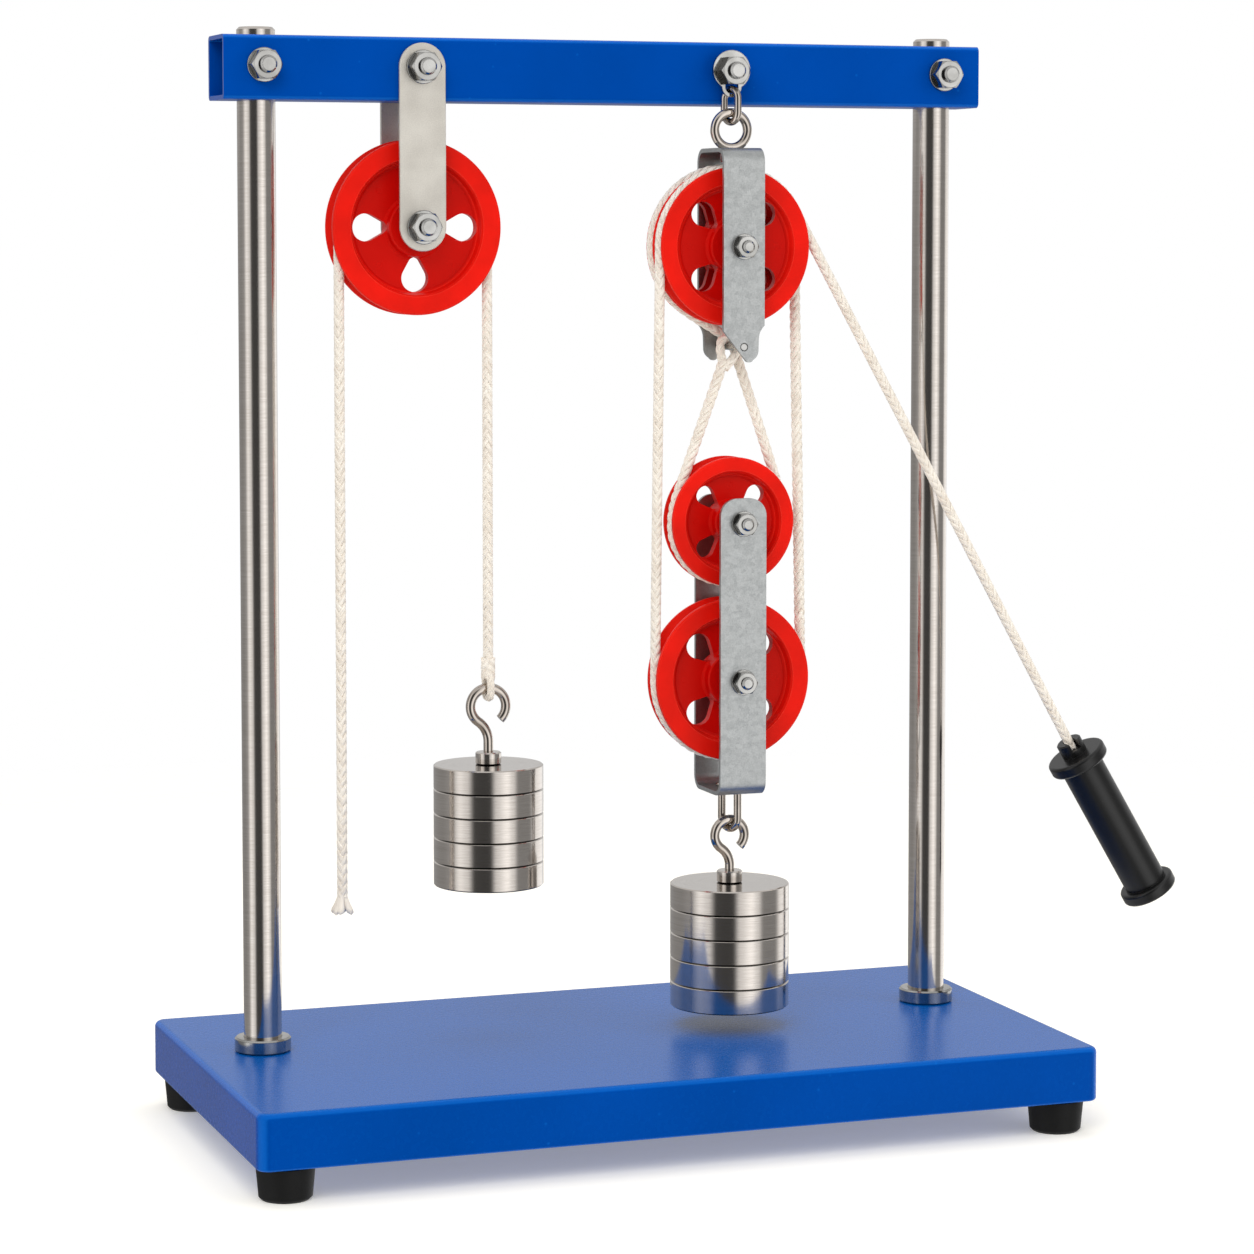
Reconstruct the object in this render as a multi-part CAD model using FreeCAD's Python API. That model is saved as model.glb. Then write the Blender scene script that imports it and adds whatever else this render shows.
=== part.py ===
"""Pulley demonstrator: a fixed pulley and a block and tackle hung on one classroom stand.

Frame: millimetres, +X to the right, +Y to the back, +Z up. The origin is on the table,
half way along the whole object (base and pull handle) and half way across the base.
Every file in parts/ is one sub-part; equal fasteners share one file.
"""
import FreeCAD, Part

import math
import os

from FreeCAD import Vector

os.makedirs("parts", exist_ok=True)

# ---------------------------------------------------------------- driving dimensions
# stand
BASE_X = (-253.0, 159.0)
BASE_HALF_DEPTH = 108.0
BASE_THICKNESS = 26.0
FOOT_HEIGHT = 16.0
FOOT_RADIUS = 13.5
FOOT_INSET = 16.0
POST_X = (-219.0, 125.0)
POST_Y = 20.0
POST_RADIUS = 9.0
POST_TOP = 525.0
COLLAR_RADIUS = 13.4
COLLAR_HEIGHT = 7.0
BEAM_X = (-238.0, 144.0)
BEAM_SIZE = 30.0
BEAM_WALL = 2.0
BEAM_BOTTOM = 491.0
BOLT_Z = 507.0

# cord and grooves
CORD_RADIUS = 2.75
EYE_CORD_RADIUS = 2.3
GROOVE_RADIUS = 3.3
GROOVE_DEPTH = CORD_RADIUS + 0.1
RUNNING_FIT = 0.05

# fixed pulley on the left
FIXED_X = -143.0
FIXED_Z = 432.0
STRAP_WIDTH = 22.6
STRAP_THICKNESS = 2.0

# tackle on the right
HANG_X = 10.0
HANG_Y = -2.0
FORK_DEPTH = 36.0
FORK_THICKNESS = 2.0
FORK_BEND = 7.0
UPPER_FORK_WIDTH = 21.0
UPPER_FORK_TOP = 470.0
UPPER_Z = 422.8
LOWER_FORK_WIDTH = 23.5
LOWER_FORK_BOTTOM = 157.8
LOWER_FORK_TOP = 302.1
SMALL_Z = 289.8
LARGE_Z = 213.2
FRONT_GROOVE_Y = -3.75
REAR_GROOVE_Y = 7.75
LOWER_GROOVE_Y = 0.5
BECKET_Z = 374.8
BECKET_RADIUS = 2.0

# weights
LEFT_WEIGHT_X = FIXED_X + 36.6
DISC_COUNT = 5

# pull handle
PULL_ANGLE = 29.3
HANDLE_TILT = 30.8
NECK_TOP = Vector(191.9, FRONT_GROOVE_Y, 174.3)

BASE_BOTTOM = FOOT_HEIGHT
BASE_TOP = BASE_BOTTOM + BASE_THICKNESS
BEAM_FRONT = POST_Y - BEAM_SIZE / 2
BEAM_BACK = POST_Y + BEAM_SIZE / 2
PLATE_FRONT = HANG_Y - 1.0
FORK_FRONT = HANG_Y - FORK_DEPTH / 2
FORK_BACK = HANG_Y + FORK_DEPTH / 2

X_AXIS = Vector(1, 0, 0)
Y_AXIS = Vector(0, 1, 0)
Z_AXIS = Vector(0, 0, 1)
ORIGIN = Vector(0, 0, 0)


# ---------------------------------------------------------------- helpers
def save(name, *solids):
    """Write one sub-part; several solids stay separate in it."""
    shape = solids[0] if len(solids) == 1 else Part.makeCompound(list(solids))
    shape.exportStep("parts/" + name + ".step")


def along_y(shape, x, y, z):
    """Turn a shape built on +Z to point to the front (-Y) and move its foot to x, y, z."""
    shape = shape.copy()
    shape.rotate(ORIGIN, X_AXIS, 90)
    shape.translate(Vector(x, y, z))
    return shape


def revolved(outline):
    """Solid of revolution about Z of a closed outline of (radius, height) corners.

    An entry that holds two corners is an arc through the first that ends at the second.
    """
    edges = []
    here = Vector(outline[0][0], 0, outline[0][1])
    for entry in outline[1:] + outline[:1]:
        if isinstance(entry[0], tuple):
            (middle_r, middle_h), (r, h) = entry
            there = Vector(r, 0, h)
            edges.append(Part.Arc(here, Vector(middle_r, 0, middle_h), there).toShape())
        else:
            there = Vector(entry[0], 0, entry[1])
            edges.append(Part.makeLine(here, there))
        here = there
    return Part.Face(Part.Wire(edges)).revolve(ORIGIN, Z_AXIS, 360)


def chamfered_disc(radius, height, chamfer, bore):
    """Disc or ring on Z with its two outer edges chamfered."""
    return revolved([
        (bore, 0),
        (radius - chamfer, 0),
        (radius, chamfer),
        (radius, height - chamfer),
        (radius - chamfer, height),
        (bore, height),
    ])


def hexagon(across_flats, height, bore=0.0):
    """Hexagon prism on Z with both ends chamfered round its corners, and a bore."""
    corner = across_flats / math.sqrt(3)
    points = [
        Vector(corner * math.cos(math.radians(60 * n)), corner * math.sin(math.radians(60 * n)), 0)
        for n in range(6)
    ]
    prism = Part.Face(Part.makePolygon(points + points[:1])).extrude(Vector(0, 0, height))
    rounding = chamfered_disc(corner, height, corner - across_flats / 2, 0.0)
    nut = prism.common(rounding)
    return nut.cut(Part.makeCylinder(bore, height)) if bore else nut


def bolt(radius, length, across_flats, head_height):
    """Hexagon bolt on Z: its head ends at z = 0 and its shank rises to the chamfered tip."""
    shank = chamfered_disc(radius, length + 1.0, 0.8, 0.0)
    shank.translate(Vector(0, 0, -1.0))
    head = hexagon(across_flats, head_height)
    head.translate(Vector(0, 0, -head_height))
    return shank.fuse(head).removeSplitter()


def ring_wire(radius, wire, centre, axis, sweep=360.0, turn=0.0):
    """Round wire bent to a ring, or to part of one, about an axis through its centre."""
    ring = Part.makeTorus(radius, wire, ORIGIN, Z_AXIS, -180, 180, sweep)
    ring.rotate(ORIGIN, Z_AXIS, turn)
    ring.Placement = FreeCAD.Placement(centre, FreeCAD.Rotation(Z_AXIS, axis)).multiply(ring.Placement)
    return ring


def sweep_round(path, radius):
    """Solid round section along a path wire, made square to the path's first edge."""
    first = path.OrderedEdges[0]
    start = first.valueAt(first.FirstParameter)
    tangent = first.tangentAt(first.FirstParameter)
    profile = Part.Wire([Part.makeCircle(radius, start, tangent)])
    return path.makePipeShell([profile], True, False)


def cord(name, points, radii, radius=CORD_RADIUS):
    """Cord as straight runs joined by tangent arcs; radii holds the arc of each inner point."""
    edges = []
    length = 0.0
    last = Vector(*points[0])
    for n, arc_radius in enumerate(radii, start=1):
        corner = Vector(*points[n])
        arrive = (corner - Vector(*points[n - 1])).normalize()
        leave = (Vector(*points[n + 1]) - corner).normalize()
        turn = arrive.getAngle(leave)
        reach = arc_radius * math.tan(turn / 2)
        begin = corner - arrive * reach
        end = corner + leave * reach
        bisector = (leave - arrive).normalize()
        middle = corner + bisector * (arc_radius / math.cos(turn / 2) - arc_radius)
        edges.append(Part.makeLine(last, begin))
        edges.append(Part.Arc(begin, middle, end).toShape())
        length += (begin - last).Length + arc_radius * turn
        last = end
    edges.append(Part.makeLine(last, Vector(*points[-1])))
    length += (Vector(*points[-1]) - last).Length
    tube = sweep_round(Part.Wire(edges), radius)
    share = tube.Volume / (math.pi * radius ** 2 * length)
    print(name, "length", round(length, 1), "radii", radii, "volume share", round(share, 4))
    return tube


# ---------------------------------------------------------------- pulleys
class Pulley:
    """Moulded cord wheel: hub, dished web with four pear-shaped holes, and a grooved rim."""

    def __init__(self, radius, cord_line, thickness, lip, bore, hub, web, hole, first_hole):
        self.radius = radius
        self.lip = lip
        self.cord_line = cord_line
        self.half = thickness / 2
        self.bore = bore
        self.hub = hub
        self.web = web / 2
        self.hole = hole
        self.first_hole = first_hole
        self.rim = 0.77 * radius

    def groove_edge(self):
        """Where the groove's round floor meets its straight flank, as (radius, height)."""
        centre = self.cord_line - GROOVE_DEPTH + GROOVE_RADIUS
        across = self.radius - centre
        up = self.half - self.lip
        angle = math.atan2(up, across) + math.acos(GROOVE_RADIUS / math.hypot(across, up))
        return centre + GROOVE_RADIUS * math.cos(angle), GROOVE_RADIUS * math.sin(angle)

    def side(self):
        """Half of the section, from the bore out to the groove's flank, as (radius, height)."""
        return [
            (self.bore, self.half - 0.5),
            (self.bore + 0.5, self.half),
            (self.hub - 0.6, self.half),
            (self.hub, self.half - 0.6),
            (self.hub + 0.5, self.web + 1.0),
            (self.hub + 1.5, self.web),
            (self.rim - 2.6, self.web),
            (self.rim - 1.0, self.web + 1.0),
            (self.rim, self.half - 0.8),
            (self.rim + 0.8, self.half),
            (self.radius - 0.9, self.half),
            (self.radius - 0.2, self.half - 0.3),
            (self.radius, self.half - 0.9),
            (self.radius, self.half - self.lip),
            self.groove_edge(),
        ]

    def pear_hole(self):
        """Cutter for one hole: a large circle near the rim, tapering to a small one at the hub."""
        outer_at = 0.58 * self.radius
        inner_at = self.hub + 0.55 * self.hole
        outer = self.hole
        inner = 0.5 * self.hole
        tall = 2 * self.half
        lean = math.acos((outer - inner) / (outer_at - inner_at))
        sides = [
            Vector(outer_at - outer * math.cos(lean), outer * math.sin(lean), -self.half),
            Vector(inner_at - inner * math.cos(lean), inner * math.sin(lean), -self.half),
            Vector(inner_at - inner * math.cos(lean), -inner * math.sin(lean), -self.half),
            Vector(outer_at - outer * math.cos(lean), -outer * math.sin(lean), -self.half),
        ]
        taper = Part.Face(Part.makePolygon(sides + sides[:1])).extrude(Vector(0, 0, tall))
        big = Part.makeCylinder(outer, tall, Vector(outer_at, 0, -self.half))
        small = Part.makeCylinder(inner, tall, Vector(inner_at, 0, -self.half))
        return big.fuse([small, taper]).removeSplitter()

    def solid(self, x, y, z):
        """The wheel with its groove's middle plane at y and its axis through x, z."""
        upper = self.side()
        lower = [(r, -h) for r, h in reversed(upper)]
        floor = ((self.cord_line - GROOVE_DEPTH, 0.0), lower[0])
        wheel = revolved(upper + [floor] + lower[1:])
        for n in range(4):
            hole = self.pear_hole()
            hole.rotate(ORIGIN, Z_AXIS, self.first_hole + 90 * n)
            wheel = wheel.cut(hole)
        return along_y(wheel, x, y, z)


FIXED_WHEEL = Pulley(41.5, 36.6, 14.5, 1.7, 4.0 + RUNNING_FIT, 13.7, 4.5, 6.6, 0)
UPPER_WHEEL = Pulley(38.2, 37.0, 10.5, 1.2, 3.0 + RUNNING_FIT, 12.8, 3.5, 5.9, 45)
LARGE_WHEEL = Pulley(39.5, 37.8, 14.5, 1.9, 3.0 + RUNNING_FIT, 13.0, 4.5, 6.2, 45)
SMALL_WHEEL = Pulley(31.4, 29.3, 14.5, 1.9, 3.0 + RUNNING_FIT, 9.6, 4.5, 4.6, 45)


def spacer(x, z, front, back, bore, radius):
    """Plain bush on an axle, from y = front to y = back."""
    tube = chamfered_disc(radius, back - front, 0.4, bore)
    return along_y(tube, x, back, z)


# ---------------------------------------------------------------- stand
def build_base():
    """Painted board with rounded corners and edges, bored for the posts' screws and the feet."""
    size = Vector(BASE_X[1] - BASE_X[0], 2 * BASE_HALF_DEPTH, BASE_THICKNESS)
    board = Part.makeBox(size.x, size.y, size.z, Vector(BASE_X[0], -BASE_HALF_DEPTH, BASE_BOTTOM))
    upright = [e for e in board.Edges if abs(e.Vertexes[0].Z - e.Vertexes[1].Z) > 1]
    board = board.makeFillet(6.0, upright)
    top = [e for e in board.Edges if all(abs(v.Z - BASE_TOP) < 0.01 for v in e.Vertexes)]
    board = board.makeFillet(3.0, top)
    bottom = [e for e in board.Edges if all(abs(v.Z - BASE_BOTTOM) < 0.01 for v in e.Vertexes)]
    board = board.makeFillet(1.5, bottom)
    for x in POST_X:
        board = board.cut(Part.makeCylinder(4.5, BASE_THICKNESS, Vector(x, POST_Y, BASE_BOTTOM)))
        board = board.cut(Part.makeCylinder(11.0, 8.0, Vector(x, POST_Y, BASE_BOTTOM)))
    for x, y in foot_places():
        board = board.cut(Part.makeCylinder(2.1, 14.0, Vector(x, y, BASE_BOTTOM)))
    save("base", board)


def foot_places():
    """Centres of the four feet."""
    left = BASE_X[0] + FOOT_INSET
    right = BASE_X[1] - FOOT_INSET
    inset = BASE_HALF_DEPTH - FOOT_INSET
    return [(left, -inset), (right, -inset), (left, inset), (right, inset)]


def build_feet():
    """Tapered rubber feet, each with a recess for its screw; gives back the screws."""
    outline = [
        (2.2, 4.0),
        (6.5, 4.0),
        (6.5, 0.0),
        (FOOT_RADIUS - 2.6, 0.0),
        (FOOT_RADIUS - 1.3, 1.3),
        (FOOT_RADIUS, FOOT_HEIGHT - 0.8),
        (FOOT_RADIUS - 0.8, FOOT_HEIGHT),
        (2.2, FOOT_HEIGHT),
    ]
    feet = []
    screws = []
    for x, y in foot_places():
        foot = revolved(outline)
        foot.translate(Vector(x, y, 0))
        feet.append(foot)
        screw = revolved([(0, 1.6), (3.2, 1.6), (4.0, 2.4), (4.0, 4.0), (2.0, 4.0), (2.0, 28.0), (0, 29.5)])
        screw.translate(Vector(x, y, 0))
        screws.append(screw)
    save("rubber_feet", *feet)
    return screws


def build_posts():
    """Two bright steel posts and their collars; gives back the screws that hold them down."""
    collars = []
    screws = []
    for side, x in zip(("left", "right"), POST_X):
        post = revolved([
            (0, BASE_TOP),
            (POST_RADIUS, BASE_TOP),
            (POST_RADIUS, POST_TOP - 1.2),
            (POST_RADIUS - 1.2, POST_TOP),
            (0, POST_TOP),
        ])
        post.translate(Vector(x, POST_Y, 0))
        post = post.cut(Part.makeCylinder(4.05, 24.0, Vector(x, POST_Y, BASE_TOP)))
        cross = Part.makeCylinder(4.1, 40.0, Vector(x, POST_Y + 20, BOLT_Z), Vector(0, -1, 0))
        save("post_" + side, post.cut(cross))
        collar = chamfered_disc(COLLAR_RADIUS, COLLAR_HEIGHT, 0.8, POST_RADIUS + 0.1)
        collar.translate(Vector(x, POST_Y, BASE_TOP))
        collars.append(collar)
        screw = bolt(4.0, 36.0, 13.0, 5.3)
        screw.translate(Vector(x, POST_Y, BASE_BOTTOM + 6.4))
        washer = chamfered_disc(8.0, 1.6, 0.2, 4.2)
        washer.translate(Vector(x, POST_Y, BASE_BOTTOM + 6.4))
        screws.extend([screw, washer])
    save("post_collars", *collars)
    return screws


def rounded_square(size, radius, length):
    """Square bar with rounded long edges, its axis along X from x = 0."""
    bar = Part.makeBox(length, size, size, Vector(0, -size / 2, -size / 2))
    edges = [e for e in bar.Edges if abs(e.Vertexes[0].X - e.Vertexes[1].X) > 1]
    return bar.makeFillet(radius, edges)


def build_beam():
    """Square steel tube, open at both ends, drilled for the posts and the cross bolts."""
    length = BEAM_X[1] - BEAM_X[0]
    beam = rounded_square(BEAM_SIZE, 2.5, length)
    beam = beam.cut(rounded_square(BEAM_SIZE - 2 * BEAM_WALL, 0.8, length))
    beam.translate(Vector(BEAM_X[0], POST_Y, BEAM_BOTTOM + BEAM_SIZE / 2))
    for x in POST_X:
        beam = beam.cut(Part.makeCylinder(POST_RADIUS + 0.1, 40, Vector(x, POST_Y, BEAM_BOTTOM - 5)))
    for x in POST_X + (FIXED_X, HANG_X):
        beam = beam.cut(Part.makeCylinder(4.2, 40, Vector(x, BEAM_BACK + 5, BOLT_Z), Vector(0, -1, 0)))
    save("beam", beam)


def build_m8_fasteners():
    """Bolts through the beam with washers and nuts: posts, straps, pulley hanger."""
    washer_height = 1.6
    nut_height = 6.5
    tip = 2.8
    bolts = []
    nuts = []
    washers = []
    front_faces = {
        POST_X[0]: BEAM_FRONT,
        POST_X[1]: BEAM_FRONT,
        FIXED_X: BEAM_FRONT - STRAP_THICKNESS,
        HANG_X: PLATE_FRONT,
    }
    for x, front in front_faces.items():
        back = BEAM_BACK + (STRAP_THICKNESS if x == FIXED_X else 0.0)
        seat = front if x == HANG_X else front - washer_height
        start = back + washer_height
        washers.append(along_y(chamfered_disc(8.0, washer_height, 0.2, 4.2), x, start, BOLT_Z))
        if x != HANG_X:
            washers.append(along_y(chamfered_disc(8.0, washer_height, 0.2, 4.2), x, front, BOLT_Z))
        nuts.append(along_y(hexagon(13.0, nut_height, 4.05), x, seat, BOLT_Z))
        bolts.append(along_y(bolt(4.0, start - seat + nut_height + tip, 13.0, 5.3), x, start, BOLT_Z))
    save("beam_bolts", *bolts)
    save("beam_nuts", *nuts, *washers)


# ---------------------------------------------------------------- fixed pulley
def strap(x, y):
    """Flat bar with round ends and two holes, its front face at y."""
    half = STRAP_WIDTH / 2
    middle = Part.makeBox(STRAP_WIDTH, STRAP_THICKNESS, BOLT_Z - FIXED_Z, Vector(x - half, y, FIXED_Z))
    ends = [
        Part.makeCylinder(half, STRAP_THICKNESS, Vector(x, y, z), Y_AXIS) for z in (FIXED_Z, BOLT_Z)
    ]
    bar = middle.fuse(ends).removeSplitter()
    bar = bar.makeChamfer(0.3, [e for e in bar.Edges if e.Length > 20])
    for z in (FIXED_Z, BOLT_Z):
        bar = bar.cut(Part.makeCylinder(4.15, STRAP_THICKNESS, Vector(x, y, z), Y_AXIS))
    return bar


def build_fixed_pulley():
    """Two straps hung on the beam, with the wheel on an axle bolt between them."""
    front = BEAM_FRONT - STRAP_THICKNESS
    back = BEAM_BACK + STRAP_THICKNESS
    save("strap_front", strap(FIXED_X, front))
    save("strap_rear", strap(FIXED_X, BEAM_BACK))
    start = back + 1.6
    axle = along_y(bolt(4.0, start - front + 1.6 + 6.5 + 2.8, 13.0, 5.3), FIXED_X, start, FIXED_Z)
    save("fixed_axle", axle)
    nut = along_y(hexagon(13.0, 6.5, 4.05), FIXED_X, front - 1.6, FIXED_Z)
    washers = [
        along_y(chamfered_disc(8.0, 1.6, 0.2, 4.2), FIXED_X, y, FIXED_Z) for y in (start, front)
    ]
    save("fixed_axle_nut", nut, *washers)
    gap = FIXED_WHEEL.half + 0.3
    save(
        "fixed_spacers",
        spacer(FIXED_X, FIXED_Z, BEAM_FRONT, POST_Y - gap, 4.15, 6.5),
        spacer(FIXED_X, FIXED_Z, POST_Y + gap, BEAM_BACK, 4.15, 6.5),
    )
    save("fixed_wheel", FIXED_WHEEL.solid(FIXED_X, POST_Y, FIXED_Z))


# ---------------------------------------------------------------- hanger of the tackle
LINK_WIRE = 1.8
LINK_TOP = 498.3
LINK_BOTTOM = 482.6
LINK_LEG = 4.6
LINK_TURN = 24.0
RING_WIRE = 2.2
RING_LINE = 8.4
RING_Z = 478.7


def leg_offset(reach, turn):
    """Step from a link's middle to its nearer leg; the link is turned a little from square on."""
    angle = math.radians(turn)
    return Vector(reach * math.sin(angle), -reach * math.cos(angle), 0)


def build_hanger():
    """Eye plate stood off the beam by a bush, and the small link that hangs in its hole."""
    hole_z = LINK_TOP + 1.1
    disc = Part.makeCylinder(9.5, 2.0, Vector(HANG_X, PLATE_FRONT, BOLT_Z + 0.5), Y_AXIS)
    tab = Part.makeCylinder(5.0, 2.0, Vector(HANG_X, PLATE_FRONT, hole_z), Y_AXIS)
    neck = Part.makeBox(10.0, 2.0, 6.0, Vector(HANG_X - 5.0, PLATE_FRONT, hole_z))
    plate = disc.fuse([tab, neck]).removeSplitter()
    plate = plate.cut(Part.makeCylinder(4.15, 2.0, Vector(HANG_X, PLATE_FRONT, BOLT_Z), Y_AXIS))
    plate = plate.cut(Part.makeCylinder(3.35, 2.0, Vector(HANG_X, PLATE_FRONT, hole_z), Y_AXIS))
    save("eye_plate", plate)
    save("eye_plate_bush", spacer(HANG_X, BOLT_Z, PLATE_FRONT + 2.0, BEAM_FRONT, 4.15, 5.6))
    high = Vector(HANG_X, HANG_Y, LINK_TOP - LINK_LEG)
    low = Vector(HANG_X, HANG_Y, LINK_BOTTOM + LINK_LEG)
    side = leg_offset(LINK_LEG, LINK_TURN)
    path = Part.Wire([
        Part.makeLine(low - side, high - side),
        Part.Arc(high - side, high + Vector(0, 0, LINK_LEG), high + side).toShape(),
        Part.makeLine(high + side, low + side),
        Part.Arc(low + side, low - Vector(0, 0, LINK_LEG), low - side).toShape(),
    ])
    save("hanger_link", sweep_round(path, LINK_WIRE))


# ---------------------------------------------------------------- forks
def bent_strap(width, crown, tips, upright):
    """Flat bar bent to a U round the wheels; its crown is the top (upright) or the bottom."""
    tall = abs(crown - tips)
    half = width / 2
    outer = Part.makeBox(width, FORK_DEPTH, 2 * tall, Vector(-half, -FORK_DEPTH / 2, -2 * tall))
    inner_depth = FORK_DEPTH - 2 * FORK_THICKNESS
    inner = Part.makeBox(
        width, inner_depth, 2 * tall, Vector(-half, -inner_depth / 2, -2 * tall - FORK_THICKNESS)
    )
    outer = outer.makeFillet(
        FORK_BEND, [e for e in outer.Edges if e.BoundBox.ZMin > -0.01 and e.BoundBox.XLength > 1]
    )
    inner_top = -FORK_THICKNESS - 0.01
    inner = inner.makeFillet(
        FORK_BEND - FORK_THICKNESS,
        [e for e in inner.Edges if e.BoundBox.ZMin > inner_top and e.BoundBox.XLength > 1],
    )
    legs = outer.cut(inner)
    legs = legs.common(Part.makeBox(width, FORK_DEPTH, tall, Vector(-half, -FORK_DEPTH / 2, -tall)))
    if not upright:
        legs.rotate(ORIGIN, X_AXIS, 180)
    legs.translate(Vector(HANG_X, HANG_Y, crown))
    return legs


def through_hole(shape, z, radius):
    """Drill both legs of a fork across at height z."""
    drill = Part.makeCylinder(radius, 60.0, Vector(HANG_X, FORK_BACK + 10, z), Vector(0, -1, 0))
    return shape.cut(drill)


def tongue_outline():
    """Outline of the upper fork's leg: straight sides, then a hooked tongue over the becket."""
    half = UPPER_FORK_WIDTH / 2
    start = Vector(-half, 0, UPPER_FORK_TOP + 1)
    left = Vector(-half, 0, 382.5)
    tip = Vector(1.0, 0, 368.2)
    nose = Vector(4.6, 0, 368.6)
    side = Vector(7.4, 0, 373.5)
    waist = Vector(7.6, 0, 379.0)
    right = Vector(half, 0, 385.0)
    end = Vector(half, 0, UPPER_FORK_TOP + 1)
    edges = [
        Part.makeLine(start, left),
        Part.makeLine(left, tip),
        Part.Arc(tip, Vector(2.8, 0, 367.4), nose).toShape(),
        Part.Arc(nose, Vector(6.7, 0, 370.6), side).toShape(),
        Part.makeLine(side, waist),
        Part.Arc(waist, Vector(8.4, 0, 382.2), right).toShape(),
        Part.makeLine(right, end),
        Part.makeLine(end, start),
    ]
    front = Part.Face(Part.Wire(edges)).extrude(Vector(0, -FORK_DEPTH, 0))
    back = front.copy()
    back.rotate(ORIGIN, Z_AXIS, 180)
    both = front.fuse(back)
    both.translate(Vector(HANG_X, HANG_Y, 0))
    return both


def m6_axle(x, z):
    """Axle bolt across a fork, with its washers and thin nut at the front."""
    start = FORK_BACK + 0.8
    seat = FORK_FRONT - 0.8
    pin = along_y(bolt(3.0, start - seat + 4.5 + 1.5, 10.0, 4.0), x, start, z)
    nut = along_y(hexagon(10.0, 4.5, 3.05), x, seat, z)
    washers = [
        along_y(chamfered_disc(6.2, 0.8, 0.15, 3.15), x, y, z) for y in (start, FORK_FRONT)
    ]
    return pin, [nut] + washers


def build_upper_block():
    """Fork on its eye bolt, two wheels side by side on one axle, and the becket pin below."""
    fork = bent_strap(UPPER_FORK_WIDTH, UPPER_FORK_TOP, 360.0, True).common(tongue_outline())
    fork = through_hole(fork.removeSplitter(), UPPER_Z, 3.15)
    fork = through_hole(fork, BECKET_Z, BECKET_RADIUS + 0.03)
    slot = Part.makeTorus(RING_LINE, RING_WIRE + 0.1, Vector(HANG_X, HANG_Y, RING_Z), Y_AXIS)
    shank_hole = Part.makeCylinder(3.1, 10.0, Vector(HANG_X, HANG_Y, UPPER_FORK_TOP - 5))
    fork = fork.cut(slot).cut(shank_hole)
    save("upper_fork", fork)

    ring = ring_wire(RING_LINE, RING_WIRE, Vector(HANG_X, HANG_Y, RING_Z), Y_AXIS)
    shank_end = UPPER_FORK_TOP - FORK_THICKNESS - 4.8
    shank = Part.makeCylinder(3.0, RING_Z - RING_LINE - shank_end, Vector(HANG_X, HANG_Y, shank_end))
    save("upper_eye_bolt", ring.fuse(shank).removeSplitter())
    eye_nut = hexagon(10.0, 4.6, 3.05)
    eye_nut.translate(Vector(HANG_X, HANG_Y, UPPER_FORK_TOP - FORK_THICKNESS - 4.6))

    axle, nut_set = m6_axle(HANG_X, UPPER_Z)
    save("upper_axle", axle)
    save("upper_nuts", eye_nut, *nut_set)
    gap = UPPER_WHEEL.half + 0.15
    free_spans = [
        (FORK_FRONT + FORK_THICKNESS, FRONT_GROOVE_Y - gap),
        (FRONT_GROOVE_Y + gap, REAR_GROOVE_Y - gap),
        (REAR_GROOVE_Y + gap, FORK_BACK - FORK_THICKNESS),
    ]
    bushes = [spacer(HANG_X, UPPER_Z, front, back, 3.15, 5.5) for front, back in free_spans]
    save("upper_spacers", *bushes)
    save("upper_front_wheel", UPPER_WHEEL.solid(HANG_X, FRONT_GROOVE_Y, UPPER_Z))
    save("upper_rear_wheel", UPPER_WHEEL.solid(HANG_X, REAR_GROOVE_Y, UPPER_Z))
    pin = chamfered_disc(BECKET_RADIUS, FORK_DEPTH, 0.4, 0.0)
    save("becket_pin", along_y(pin, HANG_X, FORK_BACK, BECKET_Z))


STAPLE_WIRE = 1.9
STAPLE_LEG = 5.4
STAPLE_TURN = 24.0
STAPLE_BOTTOM = 139.5
STAPLE_TOP = LOWER_FORK_BOTTOM + FORK_THICKNESS


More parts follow.
